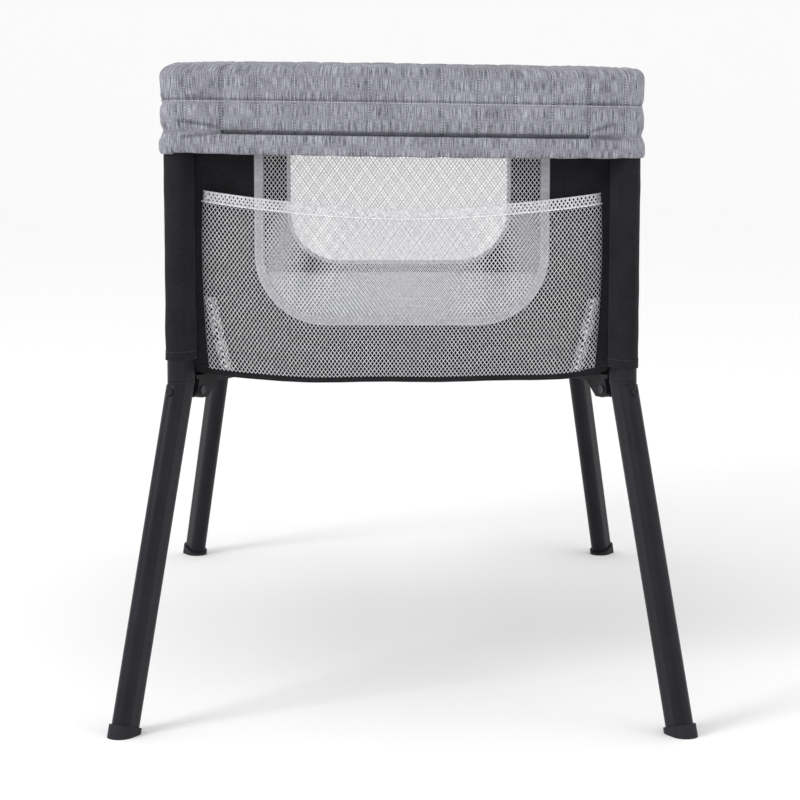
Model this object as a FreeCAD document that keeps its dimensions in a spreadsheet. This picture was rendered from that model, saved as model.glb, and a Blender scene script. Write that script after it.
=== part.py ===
"""Bassinet on a folding stand.

A fabric tub hangs from four padded rails on four corner posts. Each post ends in a knuckle
that carries a splayed leg on a hinge pin, and four base arms run from the knuckles to a hub.

Frame: millimetres, +Z up, the origin on the floor under the middle of the tub. The long way
is Y, and the end with the storage pocket faces -Y. Corner pieces are drawn in the frame of
their corner: the post's axis is the Z axis, and +X points outward along the tub's diagonal.
"""
import FreeCAD, Part
import math
import os

import Sketcher
from FreeCAD import Placement, Rotation, Vector

os.makedirs("parts", exist_ok=True)
doc = FreeCAD.newDocument("BassinetOnStand")

# ---------------------------------------------------------------------------------------
# Driving dimensions. The sheet holds plain numbers in millimetres.
# ---------------------------------------------------------------------------------------
DIMENSIONS = [
    # posts, legs and their flat-oval tube
    ("post_x", 241.0, "half the distance between post axes across the tub"),
    ("post_y", 401.0, "half the distance between post axes along the tub"),
    ("tube_deep", 35.0, "tube section along the diagonal"),
    ("tube_wide", 23.0, "tube section across the diagonal"),
    ("tube_wall", 1.5, "tube wall"),
    ("post_foot", 376.0, "height of the post tube's lower end"),
    ("plug_length", 25.0, "length of a plug inside a tube"),
    ("fit_gap", 0.2, "clearance of a plug or a sleeve on its tube"),
    ("part_gap", 0.3, "clearance between pieces that move past each other"),
    # knuckle and hinge
    ("flange_thick", 4.0, "flange between post and leg, one on each side"),
    ("pin_clear", 6.3, "hinge pin inward of the tube's inner side"),
    ("pin_drop", 17.0, "hinge pin below the post's lower end"),
    ("pin_diameter", 6.0, "hinge pin"),
    ("pin_head", 9.0, "diameter of the hinge pin's heads"),
    ("pin_head_thick", 1.5, "thickness of the hinge pin's heads"),
    ("cheek_radius", 8.5, "bracket's radius round the pin"),
    ("bracket_wide", 22.0, "width over the bracket's cheeks"),
    ("bridge_past_pin", 11.2, "solid bridge's outer face inward of the pin"),
    ("bracket_past_pin", 28.2, "bracket's inner end inward of the pin"),
    ("lug_wide", 7.2, "leg's hinge lug"),
    ("lug_radius", 8.0, "lug's radius round the pin"),
    # leg
    ("leg_spread", 112.5, "how far the foot stands outward of the post axis"),
    ("leg_plug", 30.0, "leg head's plug along the leg"),
    ("foot_rim", 2.7, "foot cap's wall outside the tube"),
    ("foot_tall", 10.0, "foot cap's height up the leg"),
    ("foot_sole", 3.0, "sole under the tube's end"),
    # snap button
    ("button_drop", 17.0, "button below the leg's top, along the leg"),
    ("button_diameter", 9.0, "button"),
    ("button_proud", 2.5, "button above the leg's nose"),
    ("button_travel", 4.0, "how far the button is pressed in"),
    ("collar_diameter", 11.5, "button's retaining collar"),
    ("collar_thick", 2.0, "thickness of the retaining collar"),
    # rails and corner mouldings
    ("rail_height", 690.0, "height of the rails' axes"),
    ("post_below_rail", 22.0, "post tube's upper end below the rails' axes"),
    ("rail_diameter", 19.0, "rail tube"),
    ("rail_wall", 1.2, "rail tube's wall"),
    ("rail_setback", 20.0, "rail's end from the post axis"),
    ("socket_diameter", 25.0, "outside of a rail socket"),
    ("socket_reach", 46.0, "rail socket's mouth from the post axis"),
    ("core_diameter", 29.0, "corner moulding's core"),
    # base arms and hub
    ("arm_wide", 20.0, "base arm's width"),
    ("arm_thick", 9.5, "base arm's height"),
    ("arm_wall", 1.2, "base arm's wall"),
    ("arm_below", 0.5, "base arm's top below the post's lower end"),
    ("tenon_length", 24.0, "bracket's tenon inside the arm"),
    ("hub_radius", 46.0, "hub"),
    ("hub_skin", 3.0, "hub's material over and under the arms"),
    ("arm_seat", 16.0, "arm's depth in the hub"),
    ("rivet_diameter", 4.0, "rivet shank"),
    ("rivet_head", 7.0, "rivet head"),
    ("rivet_head_thick", 1.2, "thickness of a rivet head"),
    # fabric tub
    ("sleeve_thick", 1.0, "fabric sleeve on each post"),
    ("sleeve_rise", 14.0, "sleeve's lower end above the post's"),
    ("cover_tuck", 25.0, "how far sleeves and windows run up inside the cover"),
    ("panel_thick", 2.0, "tub's fabric panels"),
    ("panel_below_rail", 15.0, "panels' upper edge below the rails' axes"),
    ("floor_rise", 1.0, "underside of the tub's floor above the post's lower end"),
    ("mesh_thick", 1.2, "window mesh"),
    ("window_rise", 63.0, "lower edge of the window opening above the floor's underside"),
    ("window_radius", 68.0, "rounding of the window's lower corners"),
    ("end_margin", 90.5, "end window's opening from the post axis"),
    ("side_margin", 101.0, "side window's opening from the post axis"),
    ("binding_wide", 10.5, "binding tape round a window"),
    ("binding_thick", 0.8, "thickness of the binding tape"),
    # storage pocket
    ("pocket_inset", 20.0, "pocket's side from the post axis"),
    ("pocket_deep", 16.0, "pocket's depth off the end panel"),
    ("pocket_wall", 1.5, "pocket's wall"),
    ("pocket_rise", 2.0, "pocket's underside above the floor's underside"),
    ("pocket_below_cover", 39.0, "pocket's hem, at its sides, below the cover"),
    ("pocket_sag", 18.0, "how far the hem hangs lower in the middle"),
    # rail cover
    ("cover_above_rail", 26.0, "cover's top above the rails' axes"),
    ("cover_tall", 101.0, "cover's height"),
    ("cover_slack_x", 0.5, "cover's room round the sleeves, across"),
    ("cover_slack_y", 2.2, "cover's room round the sleeves, along"),
    ("cover_wall", 3.0, "cover's quilted wall"),
    ("cover_roof", 4.0, "cover's thickness on top"),
    ("cover_corner", 18.0, "cover's outer corner radius"),
    ("cover_round", 8.0, "rounding of the cover's outer top edge"),
    ("cover_inner_round", 5.0, "rounding of the cover's inner top edge"),
    # mattress
    ("mattress_gap", 8.0, "mattress to panel"),
    ("board_thick", 3.0, "mattress board"),
    ("pad_thick", 40.0, "mattress pad"),
    ("mattress_corner", 30.0, "mattress's corner radius"),
    ("pad_round", 10.0, "rounding of the pad's top edge"),
]

sheet = doc.addObject("Spreadsheet::Sheet", "Sizes")
for row, (alias, number, meaning) in enumerate(DIMENSIONS, start=1):
    sheet.set(f"A{row}", meaning)
    sheet.set(f"B{row}", str(number))
    sheet.setAlias(f"B{row}", alias)
doc.recompute()

# ---------------------------------------------------------------------------------------
# Sizes worked out from the sheet, as expressions that objects are bound to.
# ---------------------------------------------------------------------------------------
POST_R = "((Sizes.post_x ^ 2 + Sizes.post_y ^ 2) ^ 0.5)"
POST_HEAD = "(Sizes.rail_height - Sizes.post_below_rail)"
COVER_HEAD = "(Sizes.rail_height + Sizes.cover_above_rail)"
COVER_FOOT = f"({COVER_HEAD} - Sizes.cover_tall)"
PANEL_HEAD = "(Sizes.rail_height - Sizes.panel_below_rail)"
FLOOR_FOOT = "(Sizes.post_foot + Sizes.floor_rise)"
WINDOW_FOOT = f"({FLOOR_FOOT} + Sizes.window_rise)"
TUCKED = f"({COVER_FOOT} + Sizes.cover_tuck)"

TUBE_INNER_DEEP = "(Sizes.tube_deep - 2 * Sizes.tube_wall)"
TUBE_INNER_WIDE = "(Sizes.tube_wide - 2 * Sizes.tube_wall)"
PLUG_DEEP = f"({TUBE_INNER_DEEP} - 2 * Sizes.fit_gap)"
PLUG_WIDE = f"({TUBE_INNER_WIDE} - 2 * Sizes.fit_gap)"

FLANGE_FOOT = "(Sizes.post_foot - Sizes.flange_thick)"
LEG_HEAD_TOP = f"({FLANGE_FOOT} - Sizes.part_gap)"
LEG_TUBE_TOP = f"({LEG_HEAD_TOP} - Sizes.flange_thick)"
LEG_TILT = f"atan(Sizes.leg_spread / {FLANGE_FOOT})"
LEG_LENGTH = f"((Sizes.leg_spread ^ 2 + {FLANGE_FOOT} ^ 2) ^ 0.5)"
PIN_HEIGHT = "(Sizes.post_foot - Sizes.pin_drop)"
PIN_INWARD = "(Sizes.tube_deep / 2 + Sizes.pin_clear)"
BRIDGE_INWARD = f"({PIN_INWARD} + Sizes.bridge_past_pin)"
BRACKET_REACH = f"({PIN_INWARD} + Sizes.bracket_past_pin)"
SLOT_WIDE = "(Sizes.lug_wide + 2 * Sizes.fit_gap)"

ARM_TOP = "(Sizes.post_foot - Sizes.arm_below)"
ARM_FOOT = f"({ARM_TOP} - Sizes.arm_thick)"
ARM_START = "(Sizes.hub_radius - Sizes.arm_seat)"
ARM_END = f"({POST_R} - {BRACKET_REACH})"

RIVET_RADII = [
    "(Sizes.hub_radius - Sizes.arm_seat / 2)",
    f"({ARM_END} - Sizes.tenon_length / 2)",
]
# The hub's roof stays under the tub's floor.
HUB_ROOF = "(Sizes.arm_below + Sizes.part_gap)"

# The collar lies against the tube's inner nose, at the collar's own radius.
NOSE_RADIUS = f"({TUBE_INNER_WIDE} / 2)"
COLLAR_TOP = (f"(({TUBE_INNER_DEEP} - {TUBE_INNER_WIDE}) / 2"
              f" + ({NOSE_RADIUS} ^ 2 - (Sizes.collar_diameter / 2) ^ 2) ^ 0.5 - Sizes.part_gap)")
COLLAR_START = f"({COLLAR_TOP} - Sizes.collar_thick)"
BUTTON_CHAMBER = f"({PLUG_DEEP} / 2 - {COLLAR_START} + Sizes.button_travel + Sizes.part_gap * 3)"

# The tube ends above the sole everywhere, although it leans.
FOOT_END = (f"(Sizes.foot_sole / cos({LEG_TILT})"
            f" + (Sizes.tube_deep / 2 + Sizes.fit_gap) * tan({LEG_TILT}))")

SLEEVE_FOOT = "(Sizes.post_foot + Sizes.sleeve_rise)"
SLEEVE_DEEP = "(Sizes.tube_deep + 2 * Sizes.fit_gap + 2 * Sizes.sleeve_thick)"
SLEEVE_WIDE = "(Sizes.tube_wide + 2 * Sizes.fit_gap + 2 * Sizes.sleeve_thick)"

# The tub's corners meet the inner nose of the sleeves on the diagonal.
TUB_SHARE = f"(1 - ({SLEEVE_DEEP} / 2 + Sizes.fit_gap / 2) / {POST_R})"
PANEL_X = f"(Sizes.post_x * {TUB_SHARE})"
PANEL_Y = f"(Sizes.post_y * {TUB_SHARE})"
TUB_X = f"({PANEL_X} - Sizes.panel_thick)"
TUB_Y = f"({PANEL_Y} - Sizes.panel_thick)"
FLOOR_TOP = f"({FLOOR_FOOT} + Sizes.panel_thick)"

MATTRESS_X = f"({TUB_X} - Sizes.mattress_gap)"
MATTRESS_Y = f"({TUB_Y} - Sizes.mattress_gap)"
BOARD_FOOT = f"({FLOOR_TOP} + Sizes.part_gap)"
PAD_FOOT = f"({BOARD_FOOT} + Sizes.board_thick)"

# The cover clears the sleeves outside, and the panels and rail sockets inside.
SLEEVE_X = f"((Sizes.tube_deep - Sizes.tube_wide) / 2 * Sizes.post_x / {POST_R} + {SLEEVE_WIDE} / 2)"
SLEEVE_Y = f"((Sizes.tube_deep - Sizes.tube_wide) / 2 * Sizes.post_y / {POST_R} + {SLEEVE_WIDE} / 2)"
COVER_X = f"(Sizes.post_x + {SLEEVE_X} + Sizes.cover_slack_x + Sizes.cover_wall)"
COVER_Y = f"(Sizes.post_y + {SLEEVE_Y} + Sizes.cover_slack_y + Sizes.cover_wall)"
LINING = "(Sizes.mesh_thick + Sizes.part_gap + Sizes.cover_wall)"
SOCKET_SIDE = "(Sizes.socket_diameter / 2 + Sizes.part_gap + Sizes.cover_wall)"
COVER_HOLE_X = f"min({TUB_X} - {LINING}; Sizes.post_x - {SOCKET_SIDE})"
COVER_HOLE_Y = f"min({TUB_Y} - {LINING}; Sizes.post_y - {SOCKET_SIDE})"

CORNERS = {
    "front_left": (-1, -1),
    "front_right": (1, -1),
    "back_left": (-1, 1),
    "back_right": (1, 1),
}


def size(expression):
    """The number an expression comes to, in millimetres or degrees."""
    found = sheet.evalExpression(expression)
    return float(getattr(found, "Value", found))


# ---------------------------------------------------------------------------------------
# Sketch and feature helpers
# ---------------------------------------------------------------------------------------
parts = []


def keep(shape_object, label, placement=None):
    """Take an object as a sub-part with its own label and place."""
    shape_object.Label = label
    if placement is not None:
        shape_object.Placement = placement
    parts.append(shape_object)
    return shape_object


def body_named(label, placement=None):
    """An empty body, taken as a sub-part."""
    return keep(doc.addObject("PartDesign::Body", label), label, placement)


def sketch_on(body, role, shift="0", tilt=None):
    """A sketch on one of the body's origin planes, shifted along the plane's normal.

    With a tilt, the plane starts at its shift and leans about the body's Y axis.
    """
    plane = next(item for item in body.Origin.OriginFeatures if item.Role == role)
    sketch = body.newObject("Sketcher::SketchObject", "Sketch")
    sketch.AttachmentSupport = [(plane, "")]
    sketch.MapMode = "FlatFace"
    if tilt is not None:
        sketch.AttachmentOffset = tilt
    else:
        sketch.setExpression("AttachmentOffset.Base.z", shift)
    return sketch


def bind(sketch, constraint, expression):
    """Add one dimension to a sketch and bind it to an expression."""
    index = sketch.addConstraint(constraint)
    sketch.setExpression(f"Constraints[{index}]", expression)


def pin_point(sketch, geometry, end, across, up):
    """Fix a point of the sketch at a place measured from its origin."""
    for kind, axis, expression in (("DistanceX", -2, across), ("DistanceY", -1, up)):
        number = size(expression)
        if abs(number) < 1e-9:
            sketch.addConstraint(Sketcher.Constraint("PointOnObject", geometry, end, axis))
        else:
            bind(sketch, Sketcher.Constraint(kind, -1, 1, geometry, end, number), expression)


def draw_polygon(sketch, corners):
    """A closed polygon; each corner is a pair of expressions."""
    points = [Vector(size(across), size(up), 0) for across, up in corners]
    first = None
    for index, point in enumerate(points):
        following = points[(index + 1) % len(points)]
        line = sketch.addGeometry(Part.LineSegment(point, following), False)
        first = line if first is None else first
        if index:
            sketch.addConstraint(Sketcher.Constraint("Coincident", line - 1, 2, line, 1))
    sketch.addConstraint(Sketcher.Constraint("Coincident", first + len(points) - 1, 2, first, 1))
    for index, (across, up) in enumerate(corners):
        pin_point(sketch, first + index, 1, across, up)


def draw_rectangle(sketch, left, right, low, high):
    """An upright rectangle between four expressions."""
    draw_polygon(sketch, [(left, low), (right, low), (right, high), (left, high)])


def draw_circle(sketch, across, up, diameter):
    """A circle about a fixed point."""
    centre = Vector(size(across), size(up), 0)
    circle = sketch.addGeometry(Part.Circle(centre, Vector(0, 0, 1), size(diameter) / 2), False)
    pin_point(sketch, circle, 3, across, up)
    bind(sketch, Sketcher.Constraint("Diameter", circle, size(diameter)), diameter)


def draw_arc_pair(sketch, lines, arcs):
    """Join lines and arcs end to end, each arc tangent to both of its lines."""
    for line_before, arc, line_after in arcs:
        sketch.addConstraint(Sketcher.Constraint("Tangent", lines[line_before], 2, arc, 1))
        sketch.addConstraint(Sketcher.Constraint("Tangent", arc, 2, lines[line_after], 1))


def draw_obround(sketch, deep, wide):
    """A slot-shaped outline about the sketch's origin, its long way along X."""
    radius = size(wide) / 2
    reach = size(deep) / 2 - radius
    normal = Vector(0, 0, 1)
    quarter = math.pi / 2
    low = sketch.addGeometry(Part.LineSegment(Vector(-reach, -radius, 0), Vector(reach, -radius, 0)), False)
    right = sketch.addGeometry(
        Part.ArcOfCircle(Part.Circle(Vector(reach, 0, 0), normal, radius), -quarter, quarter), False)
    high = sketch.addGeometry(Part.LineSegment(Vector(reach, radius, 0), Vector(-reach, radius, 0)), False)
    left = sketch.addGeometry(
        Part.ArcOfCircle(Part.Circle(Vector(-reach, 0, 0), normal, radius), quarter, 3 * quarter), False)
    draw_arc_pair(sketch, {"low": low, "high": high}, [("low", right, "high"), ("high", left, "low")])
    pin_point(sketch, right, 3, f"({deep} - {wide}) / 2", "0")
    pin_point(sketch, left, 3, f"-({deep} - {wide}) / 2", "0")
    bind(sketch, Sketcher.Constraint("Radius", right, radius), f"{wide} / 2")


def draw_rounded(sketch, half_x, half_y, radius):
    """A rectangle with four round corners about the sketch's origin."""
    x, y, r = size(half_x), size(half_y), size(radius)
    normal = Vector(0, 0, 1)
    quarter = math.pi / 2
    lines = []
    arcs = []
    runs = [
        (Vector(-x + r, -y, 0), Vector(x - r, -y, 0)),
        (Vector(x, -y + r, 0), Vector(x, y - r, 0)),
        (Vector(x - r, y, 0), Vector(-x + r, y, 0)),
        (Vector(-x, y - r, 0), Vector(-x, -y + r, 0)),
    ]
    centres = [(1, -1), (1, 1), (-1, 1), (-1, -1)]
    for turn, (start, stop) in enumerate(runs):
        lines.append(sketch.addGeometry(Part.LineSegment(start, stop), False))
        sx, sy = centres[turn]
        circle = Part.Circle(Vector(sx * (x - r), sy * (y - r), 0), normal, r)
        begin = (turn - 1) * quarter
        arcs.append(sketch.addGeometry(Part.ArcOfCircle(circle, begin, begin + quarter), False))
    draw_arc_pair(sketch, lines, [(turn, arcs[turn], (turn + 1) % 4) for turn in range(4)])
    for arc, (sx, sy) in zip(arcs, centres):
        pin_point(sketch, arc, 3, f"{sx} * ({half_x} - {radius})", f"{sy} * ({half_y} - {radius})")
    bind(sketch, Sketcher.Constraint("Radius", arcs[0], r), radius)


def draw_window(sketch, half, foot, head, radius):
    """A window outline: square at the top, with two round corners at the bottom."""
    x, low, high, r = size(half), size(foot), size(head), size(radius)
    normal = Vector(0, 0, 1)
    quarter = math.pi / 2
    bottom = sketch.addGeometry(Part.LineSegment(Vector(-x + r, low, 0), Vector(x - r, low, 0)), False)
    right_turn = sketch.addGeometry(
        Part.ArcOfCircle(Part.Circle(Vector(x - r, low + r, 0), normal, r), -quarter, 0), False)
    right = sketch.addGeometry(Part.LineSegment(Vector(x, low + r, 0), Vector(x, high, 0)), False)
    top = sketch.addGeometry(Part.LineSegment(Vector(x, high, 0), Vector(-x, high, 0)), False)
    left = sketch.addGeometry(Part.LineSegment(Vector(-x, high, 0), Vector(-x, low + r, 0)), False)
    left_turn = sketch.addGeometry(
        Part.ArcOfCircle(Part.Circle(Vector(-x + r, low + r, 0), normal, r), 2 * quarter, 3 * quarter), False)
    lines = {"bottom": bottom, "right": right, "left": left}
    draw_arc_pair(sketch, lines, [("bottom", right_turn, "right"), ("left", left_turn, "bottom")])
    sketch.addConstraint(Sketcher.Constraint("Coincident", right, 2, top, 1))
    sketch.addConstraint(Sketcher.Constraint("Coincident", top, 2, left, 1))
    pin_point(sketch, top, 1, half, head)
    pin_point(sketch, top, 2, f"-({half})", head)
    pin_point(sketch, right_turn, 3, f"{half} - {radius}", f"{foot} + {radius}")
    pin_point(sketch, left_turn, 3, f"-({half} - {radius})", f"{foot} + {radius}")
    bind(sketch, Sketcher.Constraint("Radius", right_turn, r), radius)


def pad(body, sketch, length, both_ways=False, reverse=False):
    """Raise a sketch into material, checking that the body grew."""
    before = body.Shape.Volume if body.Tip else 0.0
    feature = body.newObject("PartDesign::Pad", "Pad")
    feature.Profile = sketch
    feature.setExpression("Length", length)
    feature.Midplane = both_ways
    feature.Reversed = reverse
    sketch.Visibility = False
    doc.recompute()
    if body.Shape.Volume <= before:
        raise RuntimeError(f"{body.Label}: a pad added nothing")
    return feature


def pocket(body, sketch, length, both_ways=False, reverse=False):
    """Cut a sketch out of the body, checking that the body shrank."""
    before = body.Shape.Volume
    feature = body.newObject("PartDesign::Pocket", "Pocket")
    feature.Profile = sketch
    feature.setExpression("Length", length)
    feature.Midplane = both_ways
    feature.Reversed = reverse
    doc.recompute()
    if body.Shape.Volume >= before:
        raise RuntimeError(f"{body.Label}: a pocket cut nothing")
    return feature


def round_edges(body, chosen, radius):
    """Fillet the edges of the body's tip that a test picks out."""
    tip = body.Tip
    names = [f"Edge{i}" for i, edge in enumerate(tip.Shape.Edges, start=1) if chosen(edge)]
    feature = body.newObject("PartDesign::Fillet", "Fillet")
    feature.Base = (tip, names)
    feature.setExpression("Radius", radius)
    doc.recompute()
    return feature


def primitive(kind, label, **expressions):
    """A Part primitive whose sizes are bound to expressions."""
    made = doc.addObject(kind, label)
    for name, expression in expressions.items():
        made.setExpression(name, expression)
    return made


def corner_frame(signs):
    """Where a corner's own frame stands: at the post, turned to point outward."""
    sx, sy = signs
    x, y = sx * size("Sizes.post_x"), sy * size("Sizes.post_y")
    return Placement(Vector(x, y, 0), Rotation(Vector(0, 0, 1), math.degrees(math.atan2(y, x))))


def along_leg(distance):
    """A leaning plane across the leg, a distance below the leg's top along its axis."""
    lean = math.radians(size(LEG_TILT))
    centre = Vector(math.sin(lean) * distance, 0, size(FLANGE_FOOT) - math.cos(lean) * distance)
    return Placement(centre, Rotation(Vector(0, 1, 0), -size(LEG_TILT)))


def across_leg(outward):
    """A frame on the snap button's axis, its Z pointing out of the leg's nose."""
    turned = Placement(Vector(outward, 0, -size("Sizes.button_drop")), Rotation(Vector(0, 1, 0), 90))
    return along_leg(0) * turned


# ---------------------------------------------------------------------------------------
# Posts and sleeves
# ---------------------------------------------------------------------------------------
def make_post(corner, frame):
    """Flat-oval post tube."""
    body = body_named(f"post_tube_{corner}", frame)
    sketch = sketch_on(body, "XY_Plane", "Sizes.post_foot")
    draw_obround(sketch, "Sizes.tube_deep", "Sizes.tube_wide")
    draw_obround(sketch, TUBE_INNER_DEEP, TUBE_INNER_WIDE)
    pad(body, sketch, f"{POST_HEAD} - Sizes.post_foot")


def make_sleeve(corner, frame):
    """Fabric sleeve round the post."""
    body = body_named(f"corner_sleeve_{corner}", frame)
    sketch = sketch_on(body, "XY_Plane", SLEEVE_FOOT)
    draw_obround(sketch, SLEEVE_DEEP, SLEEVE_WIDE)
    draw_obround(sketch, "(Sizes.tube_deep + 2 * Sizes.fit_gap)", "(Sizes.tube_wide + 2 * Sizes.fit_gap)")
    pad(body, sketch, f"{TUCKED} - {SLEEVE_FOOT}")


# ---------------------------------------------------------------------------------------
# Knuckle, hinge and leg
# ---------------------------------------------------------------------------------------
def make_knuckle(corner, frame):
    """Moulding in the post's foot: plug, flange, two hinge cheeks, bridge and arm tenon."""
    body = body_named(f"knuckle_{corner}", frame)
    flange = sketch_on(body, "XY_Plane", FLANGE_FOOT)
    draw_obround(flange, "Sizes.tube_deep", "Sizes.tube_wide")
    pad(body, flange, "Sizes.flange_thick")
    plug = sketch_on(body, "XY_Plane", "Sizes.post_foot")
    draw_obround(plug, PLUG_DEEP, PLUG_WIDE)
    pad(body, plug, "Sizes.plug_length")

    # The bracket's outer edge runs beside the leg, then round the pin.
    lean = LEG_TILT
    side_x = f"(-{PIN_INWARD} + Sizes.cheek_radius * cos({lean}))"
    side_z = f"({PIN_HEIGHT} + Sizes.cheek_radius * sin({lean}))"
    top_x = f"({side_x} - ({FLANGE_FOOT} - {side_z}) * tan({lean}))"
    foot_z = f"({PIN_HEIGHT} - Sizes.cheek_radius)"
    web_x = "(-Sizes.tube_deep / 2 + Sizes.flange_thick)"
    bracket = sketch_on(body, "XZ_Plane")
    draw_polygon(bracket, [
        (web_x, "Sizes.post_foot"),
        (f"-{BRACKET_REACH}", "Sizes.post_foot"),
        (f"-{BRACKET_REACH}", f"{ARM_FOOT} - Sizes.arm_below"),
        (f"-{BRIDGE_INWARD}", foot_z),
        (f"-{PIN_INWARD}", foot_z),
        (f"-{PIN_INWARD}", PIN_HEIGHT),
        (side_x, side_z),
        (top_x, FLANGE_FOOT),
        (web_x, FLANGE_FOOT),
    ])
    pad(body, bracket, "Sizes.bracket_wide", both_ways=True)
    boss = sketch_on(body, "XZ_Plane")
    draw_circle(boss, f"-{PIN_INWARD}", PIN_HEIGHT, "2 * Sizes.cheek_radius")
    pad(body, boss, "Sizes.bracket_wide", both_ways=True)

    slot = sketch_on(body, "XZ_Plane")
    draw_rectangle(slot, f"-{BRIDGE_INWARD}", "Sizes.tube_deep / 2",
                   f"{foot_z} - Sizes.flange_thick", FLANGE_FOOT)
    pocket(body, slot, SLOT_WIDE, both_ways=True)
    hole = sketch_on(body, "XZ_Plane")
    draw_circle(hole, f"-{PIN_INWARD}", PIN_HEIGHT, "Sizes.pin_diameter")
    pocket(body, hole, "2 * Sizes.bracket_wide", both_ways=True)

    tenon_skin = "(Sizes.arm_wall + Sizes.fit_gap)"
    tenon = sketch_on(body, "XZ_Plane")
    draw_rectangle(tenon, f"-({BRACKET_REACH} + Sizes.tenon_length)", f"-{BRACKET_REACH}",
                   f"{ARM_FOOT} + {tenon_skin}", f"{ARM_TOP} - {tenon_skin}")
    pad(body, tenon, f"Sizes.arm_wide - 2 * {tenon_skin}", both_ways=True)
    rivet_hole = sketch_on(body, "XY_Plane", ARM_TOP)
    draw_circle(rivet_hole, f"-({BRACKET_REACH} + Sizes.tenon_length / 2)", "0",
                "Sizes.rivet_diameter + 2 * Sizes.fit_gap")
    pocket(body, rivet_hole, "Sizes.arm_thick")


def make_leg_head(corner, frame):
    """Moulding in the leg's top: plug, flange and hinge lug, bored for the snap button."""
    body = body_named(f"leg_head_{corner}", frame)
    start = size("Sizes.tube_deep") / 2
    plug = sketch_on(body, "XY_Plane", tilt=along_leg(-start))
    draw_obround(plug, PLUG_DEEP, PLUG_WIDE)
    pad(body, plug, "Sizes.leg_plug + Sizes.tube_deep / 2", reverse=True)
    middle = f"({LEG_TUBE_TOP} + Sizes.flange_thick / 2)"
    crown = sketch_on(body, "XZ_Plane")
    draw_rectangle(crown, "-Sizes.tube_deep", "Sizes.tube_deep", middle, f"{middle} + Sizes.tube_deep")
    pocket(body, crown, "2 * Sizes.tube_deep", both_ways=True)
    flange = sketch_on(body, "XY_Plane", LEG_TUBE_TOP)
    draw_obround(flange, "Sizes.tube_deep", "Sizes.tube_wide")
    pad(body, flange, "Sizes.flange_thick")

    lug = sketch_on(body, "XZ_Plane")
    draw_polygon(lug, [
        (f"-{PIN_INWARD}", f"{PIN_HEIGHT} - Sizes.lug_radius"),
        ("-Sizes.tube_deep / 4", f"{PIN_HEIGHT} - Sizes.lug_radius"),
        ("-Sizes.tube_deep / 4", LEG_TUBE_TOP),
        ("-Sizes.tube_deep / 2", LEG_HEAD_TOP),
        ("-(Sizes.tube_deep / 2 + Sizes.part_gap * 4)", LEG_HEAD_TOP),
        (f"-{PIN_INWARD}", f"{PIN_HEIGHT} + Sizes.lug_radius"),
    ])
    pad(body, lug, "Sizes.lug_wide", both_ways=True)
    eye = sketch_on(body, "XZ_Plane")
    draw_circle(eye, f"-{PIN_INWARD}", PIN_HEIGHT, "2 * Sizes.lug_radius")
    pad(body, eye, "Sizes.lug_wide", both_ways=True)
    hole = sketch_on(body, "XZ_Plane")
    draw_circle(hole, f"-{PIN_INWARD}", PIN_HEIGHT, "Sizes.pin_diameter + Sizes.part_gap")
    pocket(body, hole, "2 * Sizes.lug_wide", both_ways=True)

    chamber_floor = size(PLUG_DEEP) / 2 - size(BUTTON_CHAMBER)
    chamber = sketch_on(body, "XY_Plane", tilt=across_leg(chamber_floor))
    draw_circle(chamber, "0", "0", "Sizes.collar_diameter + 2 * Sizes.part_gap")
    pocket(body, chamber, "Sizes.tube_deep", reverse=True)


def make_leg_tube(corner, frame):
    """Flat-oval leg tube, its top end cut level and slotted for the lug."""
    body = body_named(f"leg_tube_{corner}", frame * along_leg(0))
    section = sketch_on(body, "XY_Plane", "Sizes.tube_deep / 2")
    draw_obround(section, "Sizes.tube_deep", "Sizes.tube_wide")
    draw_obround(section, TUBE_INNER_DEEP, TUBE_INNER_WIDE)
    pad(body, section, f"{LEG_LENGTH} + Sizes.tube_deep / 2 - {FOOT_END}", reverse=True)

    # In the leg's own frame a level cut rises inward.
    drop = f"(({FLANGE_FOOT} - {LEG_TUBE_TOP}) / cos({LEG_TILT}))"
    rise = f"(Sizes.tube_deep * tan({LEG_TILT}))"
    level = sketch_on(body, "XZ_Plane")
    draw_polygon(level, [
        ("-Sizes.tube_deep", f"-{drop} + {rise}"),
        ("Sizes.tube_deep", f"-{drop} - {rise}"),
        ("Sizes.tube_deep", "2 * Sizes.tube_deep"),
        ("-Sizes.tube_deep", "2 * Sizes.tube_deep"),
    ])
    pocket(body, level, "2 * Sizes.tube_deep", both_ways=True)
    slot = sketch_on(body, "XZ_Plane")
    draw_rectangle(slot, "-Sizes.tube_deep", "-Sizes.tube_deep / 4",
                   "-(Sizes.pin_drop + Sizes.lug_radius + Sizes.flange_thick)", "Sizes.tube_deep")
    pocket(body, slot, SLOT_WIDE, both_ways=True)
    hole = sketch_on(body, "YZ_Plane")
    draw_circle(hole, "0", "-Sizes.button_drop", "Sizes.button_diameter + 2 * Sizes.fit_gap")
    pocket(body, hole, "Sizes.tube_deep", reverse=True)


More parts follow.
